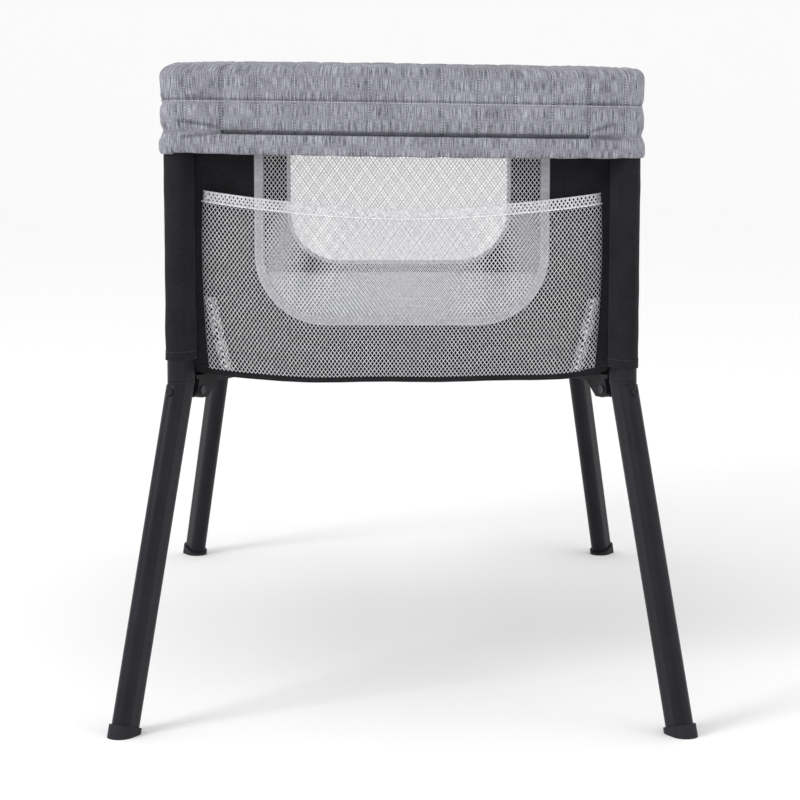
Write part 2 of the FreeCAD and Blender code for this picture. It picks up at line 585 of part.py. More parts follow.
def make_foot(corner, frame):
    """Foot cap: a leaning cup with a level sole."""
    body = body_named(f"foot_cap_{corner}", frame)
    reach = size(LEG_LENGTH)
    cup_deep = "(Sizes.tube_deep + 2 * Sizes.foot_rim)"
    cup_wide = "(Sizes.tube_wide + 2 * Sizes.foot_rim)"
    outside = sketch_on(body, "XY_Plane", tilt=along_leg(reach - size("Sizes.foot_tall")))
    draw_obround(outside, cup_deep, cup_wide)
    pad(body, outside, "Sizes.foot_tall + Sizes.tube_deep / 2", reverse=True)
    ground = sketch_on(body, "XZ_Plane")
    draw_rectangle(ground, "Sizes.leg_spread - 2 * Sizes.tube_deep", "Sizes.leg_spread + 2 * Sizes.tube_deep",
                   "-2 * Sizes.tube_deep", "0")
    pocket(body, ground, "2 * Sizes.tube_deep", both_ways=True)
    seat = sketch_on(body, "XY_Plane", tilt=along_leg(reach - size(FOOT_END)))
    draw_obround(seat, "(Sizes.tube_deep + 2 * Sizes.fit_gap)", "(Sizes.tube_wide + 2 * Sizes.fit_gap)")
    pocket(body, seat, "2 * Sizes.foot_tall", reverse=True)


def make_button(corner, frame):
    """Round snap button with the collar that keeps it in the leg."""
    body = body_named(f"release_button_{corner}", frame * across_leg(size(COLLAR_START)))
    collar = sketch_on(body, "XY_Plane")
    draw_circle(collar, "0", "0", "Sizes.collar_diameter")
    pad(body, collar, "Sizes.collar_thick")
    stem = sketch_on(body, "XY_Plane")
    draw_circle(stem, "0", "0", "Sizes.button_diameter")
    pad(body, stem, f"Sizes.tube_deep / 2 + Sizes.button_proud - {COLLAR_START}")
    top = size(f"Sizes.tube_deep / 2 + Sizes.button_proud - {COLLAR_START}")
    round_edges(body, lambda edge: abs(edge.CenterOfMass.z - top) < 1e-6, "Sizes.button_proud / 2")


# ---------------------------------------------------------------------------------------
# Rails and corner mouldings
# ---------------------------------------------------------------------------------------
def make_corner_moulding(corner, signs):
    """Moulding on the post's head: core, plug and two rail sockets."""
    sx, sy = signs
    angle = math.degrees(math.atan2(sy * size("Sizes.post_y"), sx * size("Sizes.post_x")))
    tag = f"moulding_{corner}"
    top = "(Sizes.rail_height + Sizes.socket_diameter / 2)"
    core = primitive("Part::Cylinder", f"{tag}_core", Radius="Sizes.core_diameter / 2",
                     Height=f"{top} - {POST_HEAD}")
    core.setExpression("Placement.Base.z", POST_HEAD)

    plug_profile = doc.addObject("PartDesign::Body", f"{tag}_plug")
    sketch = sketch_on(plug_profile, "XY_Plane", f"{POST_HEAD} - Sizes.plug_length")
    draw_obround(sketch, PLUG_DEEP, PLUG_WIDE)
    pad(plug_profile, sketch, "Sizes.plug_length + Sizes.fit_gap")
    plug_profile.Placement = Placement(Vector(0, 0, 0), Rotation(Vector(0, 0, 1), angle))

    solids = [core, plug_profile]
    bores = []
    directions = {"across": Rotation(Vector(0, 0, 1), Vector(-sx, 0, 0)),
                  "along": Rotation(Vector(0, 0, 1), Vector(0, -sy, 0))}
    for name, turn in directions.items():
        socket = primitive("Part::Cylinder", f"{tag}_socket_{name}", Radius="Sizes.socket_diameter / 2",
                           Height="Sizes.socket_reach")
        bore = primitive("Part::Cylinder", f"{tag}_bore_{name}",
                         Radius="Sizes.rail_diameter / 2 + Sizes.fit_gap / 2", Height="Sizes.socket_reach")
        outward = turn.multVec(Vector(0, 0, 1))
        setback = size("Sizes.rail_setback") - size("Sizes.fit_gap")
        socket.Placement = Placement(Vector(0, 0, size("Sizes.rail_height")), turn)
        bore.Placement = Placement(outward * setback + Vector(0, 0, size("Sizes.rail_height")), turn)
        solids.append(socket)
        bores.append(bore)
    whole = doc.addObject("Part::MultiFuse", f"{tag}_whole")
    whole.Shapes = solids
    holes = doc.addObject("Part::MultiFuse", f"{tag}_holes")
    holes.Shapes = bores
    moulding = doc.addObject("Part::Cut", f"corner_moulding_{corner}")
    moulding.Base = whole
    moulding.Tool = holes
    place = Placement(Vector(sx * size("Sizes.post_x"), sy * size("Sizes.post_y"), 0), Rotation())
    keep(moulding, f"corner_moulding_{corner}", place)


def make_rail(label, plane, shift, half):
    """Round rail tube between two corner mouldings."""
    body = body_named(label)
    sketch = sketch_on(body, plane)
    draw_circle(sketch, shift, "Sizes.rail_height", "Sizes.rail_diameter")
    draw_circle(sketch, shift, "Sizes.rail_height", "Sizes.rail_diameter - 2 * Sizes.rail_wall")
    pad(body, sketch, f"2 * ({half} - Sizes.rail_setback)", both_ways=True)


# ---------------------------------------------------------------------------------------
# Base: arms, hub, pins and rivets
# ---------------------------------------------------------------------------------------
def diagonal_frame(signs, radius=0.0):
    """A frame at the hub's axis or out along a diagonal, turned to point outward."""
    sx, sy = signs
    angle = math.degrees(math.atan2(sy * size("Sizes.post_y"), sx * size("Sizes.post_x")))
    turn = Rotation(Vector(0, 0, 1), angle)
    return Placement(turn.multVec(Vector(radius, 0, 0)), turn)


def make_arm(corner, signs):
    """Rectangular base arm from the hub to the knuckle's bracket."""
    body = body_named(f"base_arm_{corner}", diagonal_frame(signs))
    sketch = sketch_on(body, "YZ_Plane", ARM_START)
    draw_rectangle(sketch, "-Sizes.arm_wide / 2", "Sizes.arm_wide / 2", ARM_FOOT, ARM_TOP)
    inside = "(Sizes.arm_wide / 2 - Sizes.arm_wall)"
    draw_rectangle(sketch, f"-{inside}", inside,
                   f"{ARM_FOOT} + Sizes.arm_wall", f"{ARM_TOP} - Sizes.arm_wall")
    pad(body, sketch, f"{ARM_END} - {ARM_START}")
    holes = sketch_on(body, "XY_Plane", ARM_TOP)
    for radius in RIVET_RADII:
        draw_circle(holes, radius, "0", "Sizes.rivet_diameter + 2 * Sizes.fit_gap")
    pocket(body, holes, "Sizes.arm_thick")


def make_hub():
    """Hub disc with four seats for the base arms."""
    foot = f"({ARM_FOOT} - Sizes.hub_skin)"
    disc = primitive("Part::Cylinder", "hub_disc", Radius="Sizes.hub_radius",
                     Height=f"Sizes.arm_thick + Sizes.hub_skin + {HUB_ROOF}")
    disc.setExpression("Placement.Base.z", foot)
    cuts = []
    for corner, signs in CORNERS.items():
        seat = primitive("Part::Box", f"hub_seat_{corner}", Length="Sizes.hub_radius",
                         Width="Sizes.arm_wide", Height="Sizes.arm_thick")
        lowest = Placement(Vector(size(ARM_START), -size("Sizes.arm_wide") / 2, size(ARM_FOOT)), Rotation())
        seat.Placement = diagonal_frame(signs) * lowest
        hole = primitive("Part::Cylinder", f"hub_hole_{corner}", Height="4 * Sizes.arm_thick",
                         Radius="Sizes.rivet_diameter / 2 + Sizes.fit_gap")
        below = Placement(Vector(0, 0, size(ARM_FOOT) - size("Sizes.arm_thick")), Rotation())
        hole.Placement = diagonal_frame(signs, size(RIVET_RADII[0])) * below
        cuts += [seat, hole]
    tool = doc.addObject("Part::MultiFuse", "hub_cuts")
    tool.Shapes = cuts
    hub = doc.addObject("Part::Cut", "hub")
    hub.Base = disc
    hub.Tool = tool
    keep(hub, "hub")


def headed_pin(label, shank, head, head_thick, length, heads):
    """A shank along Z from its origin, with a head below it and, for two, one above."""
    pieces = [primitive("Part::Cylinder", f"{label}_shank", Radius=f"{shank} / 2", Height=length)]
    for index in range(heads):
        disc = primitive("Part::Cylinder", f"{label}_head_{index}", Radius=f"{head} / 2", Height=head_thick)
        disc.setExpression("Placement.Base.z", f"{length}" if index else f"-{head_thick}")
        pieces.append(disc)
    fused = doc.addObject("Part::MultiFuse", label)
    fused.Shapes = pieces
    return fused


def make_hinge_pins():
    """One pin through each knuckle's cheeks, with a head at either side."""
    pins = []
    for corner, signs in CORNERS.items():
        pin = headed_pin(f"hinge_pin_{corner}", "Sizes.pin_diameter", "Sizes.pin_head",
                         "Sizes.pin_head_thick", "Sizes.bracket_wide", 2)
        start = Vector(-size(PIN_INWARD), size("Sizes.bracket_wide") / 2, size(PIN_HEIGHT))
        pin.Placement = corner_frame(signs) * Placement(start, Rotation(Vector(1, 0, 0), 90))
        pins.append(pin)
    group = doc.addObject("Part::Compound", "hinge_pins")
    group.Links = pins
    keep(group, "hinge_pins")


def make_rivets():
    """Rivets up through the arms: into the hub and into the tenons."""
    rivets = []
    for corner, signs in CORNERS.items():
        places = [(RIVET_RADII[0], f"({ARM_FOOT} - Sizes.hub_skin)", "Sizes.arm_thick + Sizes.hub_skin"),
                  (RIVET_RADII[1], ARM_FOOT, "Sizes.arm_thick")]
        for index, (radius, foot, length) in enumerate(places):
            rivet = headed_pin(f"rivet_{corner}_{index}", "Sizes.rivet_diameter", "Sizes.rivet_head",
                               "Sizes.rivet_head_thick", length, 1)
            start = Placement(Vector(0, 0, size(foot)), Rotation())
            rivet.Placement = diagonal_frame(signs, size(radius)) * start
            rivets.append(rivet)
    group = doc.addObject("Part::Compound", "base_rivets")
    group.Links = rivets
    keep(group, "base_rivets")


# ---------------------------------------------------------------------------------------
# Fabric tub: panels, windows, floor, pocket
# ---------------------------------------------------------------------------------------
def make_wall(plane, half_width, outer, window_half, signs_and_names):
    """Fabric panels with a window each, the window mesh inside and the binding outside."""
    window = (window_half, WINDOW_FOOT, TUCKED, "Sizes.window_radius")
    grown = (f"({window_half} + Sizes.binding_wide)", f"({WINDOW_FOOT} - Sizes.binding_wide)",
             f"({TUCKED} + Sizes.binding_wide)", "(Sizes.window_radius + Sizes.binding_wide)")
    inner = f"({outer} - Sizes.panel_thick)"
    layers = [
        ("panel", inner, "Sizes.panel_thick"),
        ("window_mesh", f"({inner} - Sizes.mesh_thick)", "Sizes.mesh_thick"),
        ("window_binding", outer, "Sizes.binding_thick"),
    ]
    # The normal of the XZ plane points to -Y, so a front panel lies on its positive side.
    for sign, place in signs_and_names:
        for layer, near, thick in layers:
            body = body_named(f"{place}_{layer}")
            sketch = sketch_on(body, plane, near if sign > 0 else f"-({near} + {thick})")
            if layer == "panel":
                draw_rectangle(sketch, f"-{half_width}", half_width, FLOOR_FOOT, PANEL_HEAD)
                draw_window(sketch, *window)
            elif layer == "window_mesh":
                draw_window(sketch, *grown)
            else:
                draw_window(sketch, *grown)
                draw_window(sketch, *window)
            pad(body, sketch, thick)


def make_floor():
    """Fabric floor between the panels."""
    floor = primitive("Part::Box", "floor_panel", Length=f"2 * {TUB_X}", Width=f"2 * {TUB_Y}",
                      Height="Sizes.panel_thick")
    floor.setExpression("Placement.Base.x", f"-{TUB_X}")
    floor.setExpression("Placement.Base.y", f"-{TUB_Y}")
    floor.setExpression("Placement.Base.z", FLOOR_FOOT)
    keep(floor, "floor_panel")


def make_pocket():
    """Storage pocket on the front panel, open at the top, its hem hanging lower mid-way."""
    half = "(Sizes.post_x - Sizes.pocket_inset)"
    foot = f"({FLOOR_FOOT} + Sizes.pocket_rise)"
    head = f"({COVER_FOOT} - Sizes.pocket_below_cover)"
    tall = f"({head} - {foot})"
    outside = primitive("Part::Box", "pocket_outside", Length=f"2 * {half}", Width="Sizes.pocket_deep",
                        Height=tall)
    outside.setExpression("Placement.Base.x", f"-{half}")
    outside.setExpression("Placement.Base.y", f"-({PANEL_Y} + Sizes.pocket_deep)")
    outside.setExpression("Placement.Base.z", foot)
    inside = primitive("Part::Box", "pocket_inside", Length=f"2 * ({half} - Sizes.pocket_wall)",
                       Width="2 * Sizes.pocket_deep", Height=f"2 * {tall}")
    inside.setExpression("Placement.Base.x", f"-({half} - Sizes.pocket_wall)")
    inside.setExpression("Placement.Base.y", f"-({PANEL_Y} + Sizes.pocket_deep - Sizes.pocket_wall)")
    inside.setExpression("Placement.Base.z", f"{foot} + Sizes.pocket_wall")
    # The hem is an arc through its two ends and its low middle.
    hem_radius = f"(({half} ^ 2 + Sizes.pocket_sag ^ 2) / (2 * Sizes.pocket_sag))"
    hem = primitive("Part::Cylinder", "pocket_hem", Radius=hem_radius, Height="4 * Sizes.pocket_deep")
    hem.Placement = Placement(Vector(0, 0, 0), Rotation(Vector(1, 0, 0), 90))
    hem.setExpression("Placement.Base.y", f"-({PANEL_Y} - 2 * Sizes.pocket_deep)")
    hem.setExpression("Placement.Base.z", f"{head} - Sizes.pocket_sag + {hem_radius}")
    tools = doc.addObject("Part::MultiFuse", "pocket_cuts")
    tools.Shapes = [inside, hem]
    shell = doc.addObject("Part::Cut", "storage_pocket")
    shell.Base = outside
    shell.Tool = tools
    keep(shell, "storage_pocket")


# ---------------------------------------------------------------------------------------
# Rail cover and mattress
# ---------------------------------------------------------------------------------------
def make_cover():
    """Quilted cover over the rails: a ring whose section is open at the bottom."""
    body = body_named("rail_cover")
    ring = sketch_on(body, "XY_Plane", COVER_FOOT)
    draw_rounded(ring, COVER_X, COVER_Y, "Sizes.cover_corner")
    draw_rounded(ring, COVER_HOLE_X, COVER_HOLE_Y, "Sizes.cover_corner")
    pad(body, ring, "Sizes.cover_tall")
    top = size(COVER_HEAD)
    edge_x, edge_y = size(COVER_HOLE_X) + 1, size(COVER_HOLE_Y) + 1

    def on_top(edge):
        return edge.BoundBox.ZMin > top - 1e-6

    def outer(edge):
        box = edge.BoundBox
        return on_top(edge) and (max(abs(box.XMin), abs(box.XMax)) > edge_x
                                 or max(abs(box.YMin), abs(box.YMax)) > edge_y)

    round_edges(body, outer, "Sizes.cover_round")
    round_edges(body, lambda edge: on_top(edge) and not outer(edge), "Sizes.cover_inner_round")
    channel = sketch_on(body, "XY_Plane", COVER_FOOT)
    draw_rounded(channel, f"({COVER_X} - Sizes.cover_wall)", f"({COVER_Y} - Sizes.cover_wall)",
                 "(Sizes.cover_corner - Sizes.cover_wall)")
    draw_rounded(channel, f"({COVER_HOLE_X} + Sizes.cover_wall)", f"({COVER_HOLE_Y} + Sizes.cover_wall)",
                 "(Sizes.cover_corner + Sizes.cover_wall)")
    pocket(body, channel, "Sizes.cover_tall - Sizes.cover_roof", reverse=True)


def make_mattress():
    """Mattress: a pad on a stiff board, both with round corners."""
    board = body_named("mattress_board")
    outline = sketch_on(board, "XY_Plane", BOARD_FOOT)
    draw_rounded(outline, MATTRESS_X, MATTRESS_Y, "Sizes.mattress_corner")
    pad(board, outline, "Sizes.board_thick")
    cushion = body_named("mattress_pad")
    outline = sketch_on(cushion, "XY_Plane", PAD_FOOT)
    draw_rounded(outline, MATTRESS_X, MATTRESS_Y, "Sizes.mattress_corner")
    pad(cushion, outline, "Sizes.pad_thick")
    top = size(f"{PAD_FOOT} + Sizes.pad_thick")
    round_edges(cushion, lambda edge: edge.BoundBox.ZMin > top - 1e-6, "Sizes.pad_round")


# ---------------------------------------------------------------------------------------
# Build, check and write
# ---------------------------------------------------------------------------------------
for corner_name, corner_signs in CORNERS.items():
    local = corner_frame(corner_signs)
    make_post(corner_name, local)
    make_sleeve(corner_name, local)
    make_knuckle(corner_name, local)
    make_leg_head(corner_name, local)
    make_leg_tube(corner_name, local)
    make_foot(corner_name, local)
    make_button(corner_name, local)
    make_corner_moulding(corner_name, corner_signs)
    make_arm(corner_name, corner_signs)

for side, sign in (("left", "-"), ("right", "")):
    make_rail(f"side_rail_{side}", "XZ_Plane", f"{sign}Sizes.post_x", "Sizes.post_y")
for end, sign in (("front", "-"), ("back", "")):
    make_rail(f"end_rail_{end}", "YZ_Plane", f"{sign}Sizes.post_y", "Sizes.post_x")

make_hub()
make_hinge_pins()
make_rivets()
make_wall("XZ_Plane", PANEL_X, PANEL_Y, "(Sizes.post_x - Sizes.end_margin)",
          [(1, "front"), (-1, "back")])
make_wall("YZ_Plane", TUB_Y, PANEL_X, "(Sizes.post_y - Sizes.side_margin)",
          [(1, "right"), (-1, "left")])
make_floor()
make_pocket()
make_cover()
make_mattress()

doc.recompute()
for item in doc.Objects:
    if "Invalid" in item.State or "Error" in item.State:
        raise RuntimeError(f"{item.Label} failed: {item.State}")
for piece in parts:
    if piece.Shape.isNull() or not piece.Shape.isValid():
        raise RuntimeError(f"{piece.Label} has no valid shape")
for piece in parts:
    piece.Shape.exportStep(f"parts/{piece.Label}.step")
    print(f"{piece.Label}: {len(piece.Shape.Solids)} solid(s), {piece.Shape.Volume / 1000:.1f} cm3")
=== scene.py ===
"""Looks of a bassinet on a folding stand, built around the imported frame.

Every piece is in metres in the frame's own axes: +Z up, the storage pocket's end facing -Y.
"""
import logging
import math
from dataclasses import dataclass, field
from enum import Enum
from typing import Any, Callable, Optional

import bmesh
import bpy
import numpy as np
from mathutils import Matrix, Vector


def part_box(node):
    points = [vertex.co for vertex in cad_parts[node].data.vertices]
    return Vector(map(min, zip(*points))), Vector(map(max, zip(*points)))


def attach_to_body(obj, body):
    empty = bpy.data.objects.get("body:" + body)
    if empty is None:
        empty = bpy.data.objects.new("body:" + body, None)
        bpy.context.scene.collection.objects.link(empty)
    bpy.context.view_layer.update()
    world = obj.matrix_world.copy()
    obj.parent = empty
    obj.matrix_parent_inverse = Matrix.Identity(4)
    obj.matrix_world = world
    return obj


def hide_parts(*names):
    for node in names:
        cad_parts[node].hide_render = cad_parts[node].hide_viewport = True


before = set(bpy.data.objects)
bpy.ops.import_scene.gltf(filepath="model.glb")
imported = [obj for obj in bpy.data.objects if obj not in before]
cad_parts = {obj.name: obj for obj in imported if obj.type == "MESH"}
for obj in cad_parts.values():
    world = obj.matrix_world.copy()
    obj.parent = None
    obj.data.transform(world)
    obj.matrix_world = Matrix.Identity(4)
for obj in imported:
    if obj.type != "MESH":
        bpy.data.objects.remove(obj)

Material = bpy.types.Material
Node = bpy.types.Node
Object = bpy.types.Object
Socket = bpy.types.NodeSocket

LOG = logging.getLogger("bassinet")
MM = 0.001
FRAME_BODY = "frame"
CORNERS = ("front_left", "front_right", "back_left", "back_right")
ENDS = ("front", "back")
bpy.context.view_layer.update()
CLOTH_UV = "cloth"
# The point attribute that carries painted shade along the quilted cover's seams, creases and
# wrinkles.
SEAM_SHADE_ATTRIBUTE = "painted_shade"


# ---------------------------------------------------------------------------------------
# Colour, nodes and finishes
# ---------------------------------------------------------------------------------------
def linear(code: str) -> tuple[float, ...]:
    """Turn an sRGB hex colour, after its hash, into linear values and an alpha of 1."""
    channels = [int(code[i:i + 2], 16) / 255 for i in (1, 3, 5)]
    made = [c / 12.92 if c <= 0.04045 else ((c + 0.055) / 1.055) ** 2.4 for c in channels]
    return (*made, 1.0)


@dataclass
class Graph:
    """A node tree, with short ways to add to it."""

    tree: bpy.types.NodeTree

    def feed(self, node: Node, inputs: dict[Any, Any]) -> None:
        """Give a node's inputs, by name or index, a value or a socket that feeds them."""
        for key, value in inputs.items():
            if isinstance(value, Socket):
                self.tree.links.new(value, node.inputs[key])
            else:
                node.inputs[key].default_value = value

    def add(self, kind: str, inputs: Optional[dict[Any, Any]] = None, **settings: Any) -> Node:
        """Add one node.

        Args:
            kind: the node's type name.
            inputs: a value or a feeding socket for each input, by name or index.
            settings: the node's attributes, which are set before its inputs.

        Returns:
            The new node.
        """
        node = self.tree.nodes.new(kind)
        for key, value in settings.items():
            setattr(node, key, value)
        self.feed(node, inputs or {})
        return node

    def maths(self, operation: str, *values: Any) -> Socket:
        """The result of one operation on numbers or sockets."""
        made = self.add("ShaderNodeMath", dict(enumerate(values)), operation=operation)
        return made.outputs[0]

    def position(self) -> tuple[Socket, Socket]:
        """Each point's place, across and up."""
        place = self.add("GeometryNodeInputPosition").outputs["Position"]
        parts = self.add("ShaderNodeSeparateXYZ", {"Vector": place})
        return parts.outputs["X"], parts.outputs["Y"]

    def any_above(self, *pairs: tuple[Socket, Socket]) -> Socket:
        """Whether any value is greater than its limit."""
        found: Optional[Socket] = None
        for value, limit in pairs:
            above = self.add("FunctionNodeCompare", {0: value, 1: limit}, data_type="FLOAT",
                             operation="GREATER_THAN").outputs["Result"]
            if found is not None:
                above = self.add("FunctionNodeBooleanMath", {0: found, 1: above},
                                 operation="OR").outputs["Boolean"]
            found = above
        return found


class Surface(Graph):
    """A material in the making: a Principled shader and what feeds it."""

    def __init__(self, name: str) -> None:
        """Start the material with a bare shader."""
        self.material = bpy.data.materials.new(name)
        self.material.use_nodes = True
        super().__init__(self.material.node_tree)
        self.tree.nodes.clear()
        self.shader = self.add("ShaderNodeBsdfPrincipled")
        self.add("ShaderNodeOutputMaterial", {"Surface": self.shader.outputs["BSDF"]})

    def mapped(self, source: Socket, scale: tuple[float, ...]) -> Socket:
        """Coordinates multiplied by a scale."""
        made = self.add("ShaderNodeMapping", {"Vector": source, "Scale": scale})
        return made.outputs["Vector"]

    def cloth(self, across_mm: float, along_mm: float) -> Socket:
        """Cloth coordinates, one unit per thread repeat."""
        source = self.add("ShaderNodeUVMap", uv_map=CLOTH_UV).outputs["UV"]
        return self.mapped(source, (1 / (across_mm * MM), 1 / (along_mm * MM), 1.0))

    def grain(self, size_mm: float) -> Socket:
        """Object coordinates, one unit per grain."""
        source = self.add("ShaderNodeTexCoord").outputs["Object"]
        return self.mapped(source, (1 / (size_mm * MM),) * 3)

    def noise(self, place: Socket, scale: float, detail: float) -> Socket:
        """A noise pattern's values."""
        made = self.add("ShaderNodeTexNoise", {"Vector": place, "Scale": scale, "Detail": detail})
        return made.outputs["Fac"]

    def ramp(self, share: Socket, low: str, high: str, start: float = 0.35,
             stop: float = 0.65) -> Socket:
        """A ramp from one colour to another over a pattern's middle values."""
        made = self.add("ShaderNodeValToRGB", {"Fac": share})
        for stop_at, place, code in zip(made.color_ramp.elements, (start, stop), (low, high)):
            stop_at.position = place
            stop_at.color = linear(code)
        return made.outputs["Color"]

    def tint(self, colour: Socket, tone: Any, share: Any = 1.0) -> Socket:
        """A colour multiplied by a tone, by a share."""
        made = self.add("ShaderNodeMix", {0: share, 6: colour, 7: tone}, data_type="RGBA",
                        blend_type="MULTIPLY")
        return made.outputs[2]

    def finish(self, inputs: dict[str, Any],
               relief: Optional[tuple[Socket, float, float]] = None) -> Material:
        """Feed the shader.

        Args:
            inputs: the shader's inputs by name.
            relief: a bump's height, its strength and its depth in mm.

        Returns:
            The finished material.
        """
        self.feed(self.shader, inputs)
        if relief is not None:
            height, strength, depth_mm = relief
            bump = self.add("ShaderNodeBump", {"Height": height, "Strength": strength,
                                               "Distance": depth_mm * MM})
            self.feed(self.shader, {"Normal": bump.outputs["Normal"]})
        return self.material


@dataclass(frozen=True)
class HeatherCloth:
    """Polyester heather with slub yarns: soft grey, streaked along the warp.

    The slubs are 0.6 mm wide and 15 mm long; the ground weave is drawn at 1 mm, twice its
    real size, so that it shows.
    """

    name: str = "grey heather polyester, quilted"
    dark: str = "#4a4a55"
    light: str = "#b4b4be"
    # The tone that the painted shade along seams and folds multiplies the cloth by.
    seam_shadow_tone: str = "#747480"
    slub_mm: tuple[float, float] = (0.6, 15.0)
    weft_mm: tuple[float, float] = (7.0, 1.0)
    patch_mm: tuple[float, float] = (30.0, 45.0)
    weft_share: float = 0.22
    bump: float = 0.45
    depth_mm: float = 0.5
    roughness: float = 0.92
    sheen: float = 0.12
    specular: float = 0.25

    def build(self) -> Material:
        """Make the material."""
        made = Surface(self.name)
        slub = made.noise(made.cloth(*self.slub_mm), 1.0, 2.0)
        weft = made.noise(made.cloth(*self.weft_mm), 1.0, 2.0)
        patch = made.noise(made.cloth(*self.patch_mm), 1.0, 3.0)
        part = made.maths("MULTIPLY", weft, self.weft_share)
        yarn = made.maths("MULTIPLY_ADD", slub, 1 - self.weft_share, part)
        colour = made.tint(made.ramp(yarn, self.dark, self.light, 0.36, 0.64),
                           made.ramp(patch, "#dcdcdc", "#ffffff", 0.3, 0.7))
        # Painted shade: the cloth is darkened along its seams, creases and wrinkles, where shadow
        # falls.
        painted_shade = made.add("ShaderNodeAttribute", attribute_name=SEAM_SHADE_ATTRIBUTE).outputs["Fac"]
        colour = made.tint(colour, linear(self.seam_shadow_tone), painted_shade)
        return made.finish({"Base Color": colour, "Roughness": self.roughness,
                            "Sheen Weight": self.sheen, "Specular IOR Level": self.specular,
                            "Sheen Roughness": 0.5}, (yarn, self.bump, self.depth_mm))


@dataclass(frozen=True)
class PlainWeave:
    """Woven polyester: matt, with a fine over-and-under thread.

    The threads are drawn 1.2 mm apart, coarser than the real 0.5 mm, so that they show.
    """

    name: str
    dark: str
    light: str
    thread_mm: float = 1.2
    roughness: float = 0.85
    sheen: float = 0.04
    bump: float = 0.25
    depth_mm: float = 0.4
    specular: float = 0.22

    def build(self) -> Material:
        """Make the material."""
        made = Surface(self.name)
        place = made.cloth(self.thread_mm, self.thread_mm)
        weave = made.add("ShaderNodeTexChecker", {"Vector": place, "Scale": 1.0}).outputs["Fac"]
        fuzz = made.noise(place, 0.35, 4.0)
        wear = made.noise(place, 0.03, 3.0)
        shade = made.maths("MULTIPLY", made.maths("ADD", fuzz, wear), 0.5)
        height = made.maths("MULTIPLY_ADD", weave, 0.5, fuzz)
        return made.finish({"Base Color": made.ramp(shade, self.dark, self.light, 0.38, 0.64),
                            "Roughness": self.roughness, "Sheen Weight": self.sheen,
                            "Specular IOR Level": self.specular, "Sheen Roughness": 0.4},
                           (height, self.bump, self.depth_mm))


@dataclass(frozen=True)
class Moulded:
    """Painted metal or moulded plastic: one colour with a fine orange-peel or spark texture."""

    name: str
    colour: str
    rubbed: str
    grain_mm: float
    roughness: float
    bump: float
    metallic: float = 0.0
    specular: float = 0.24
    depth_mm: float = 0.2

    def build(self) -> Material:
        """Make the material."""
        made = Surface(self.name)
        place = made.grain(self.grain_mm)
        grain = made.noise(place, 1.0, 3.0)
        haze = made.noise(place, 0.02, 4.0)
        gloss = made.add("ShaderNodeMapRange", {"Value": haze, "To Min": self.roughness - 0.06,
                                                "To Max": self.roughness + 0.08})
        return made.finish({"Base Color": made.ramp(haze, self.colour, self.rubbed, 0.35, 0.7),
                            "Roughness": gloss.outputs["Result"], "Metallic": self.metallic,
                            "Specular IOR Level": self.specular},
                           (grain, self.bump, self.depth_mm))


@dataclass(frozen=True)
class Yarn:
    """Knitted or sewn polyester yarn, its filaments too fine to draw."""

    name: str
    dark: str
    light: str
    strand_mm: float = 3.0
    roughness: float = 0.7
    sheen: float = 0.15

    def build(self) -> Material:
        """Make the material."""
        made = Surface(self.name)
        strands = made.noise(made.grain(self.strand_mm), 1.0, 2.0)
        return made.finish({"Base Color": made.ramp(strands, self.dark, self.light),
                            "Roughness": self.roughness, "Sheen Weight": self.sheen})


def finish(kind: type, *values: Any) -> Any:
    """A field whose material is built from a kind of finish and its values."""
    return field(default_factory=lambda: kind(*values).build())


@dataclass
class Finishes:
    """Every material of the object, made once."""

    quilt: Material = finish(HeatherCloth)
    black_cloth: Material = finish(PlainWeave, "black woven polyester", "#111114", "#1d1d22")
    tape: Material = finish(PlainWeave, "light grey grosgrain binding", "#8e8e95", "#b2b2b8",
                            1.6, 0.75, 0.1, 0.3)
    # The pad's cloth is light grey; these colours are darker, partly its own grey and partly
    # painted shade from the tub round it.
    mattress: Material = finish(PlainWeave, "light grey brushed knit", "#777780", "#98989f",
                                1.8, 0.9, 0.3, 0.4)
    net: Material = finish(Yarn, "white knitted polyester net", "#b6b6ba", "#d6d6d9")
    white_thread: Material = finish(Yarn, "pale grey sewing thread", "#b4b4bb", "#d2d2d6")
    bright_thread: Material = finish(Yarn, "bright white sewing thread", "#e2e2e4", "#fafafa")
    black_thread: Material = finish(Yarn, "black sewing thread", "#1b1b1f", "#28282c")
    coat: Material = finish(Moulded, "satin black powder coat on steel tube", "#0b0b13",
                            "#12121c", 0.9, 0.42, 0.12)
    plastic: Material = finish(Moulded, "spark-textured black nylon moulding", "#121215",
                               "#1c1c20", 0.7, 0.55, 0.3)
    foot: Material = finish(Moulded, "moulded black rubber-like foot cap", "#17171b",
                            "#222228", 1.2, 0.6, 0.25)
    steel: Material = finish(Moulded, "black zinc-plated steel", "#3a3a3e", "#5a5a60",
                             0.5, 0.38, 0.1, 0.9)
    board: Material = finish(Moulded, "brown hardboard", "#6b4a2e", "#8a6440", 1.5, 0.7, 0.3)


# ---------------------------------------------------------------------------------------
# Lines, meshes and pieces
# ---------------------------------------------------------------------------------------
def closed_line(line: np.ndarray) -> np.ndarray:
    """A line of points with its first point again at its end."""
    return np.vstack([line, line[:1]])


def run_length(line: np.ndarray) -> np.ndarray:
    """Distance along a line of points, from 0 at its first."""
    return np.concatenate([[0], np.cumsum(np.linalg.norm(np.diff(line, axis=0), axis=1))])


def arc(start: float, sweep: float, parts: int) -> list[tuple[float, float]]:
    """Unit ways round an arc, both ends included, from angles in degrees."""
    angles = [math.radians(start + sweep * k / parts) for k in range(parts + 1)]
    return [(math.cos(angle), math.sin(angle)) for angle in angles]


def groove(distance: float | np.ndarray, width: float) -> np.ndarray:
    """A smooth groove of depth 1 about a line."""
    return np.exp(-(distance / width) ** 2)


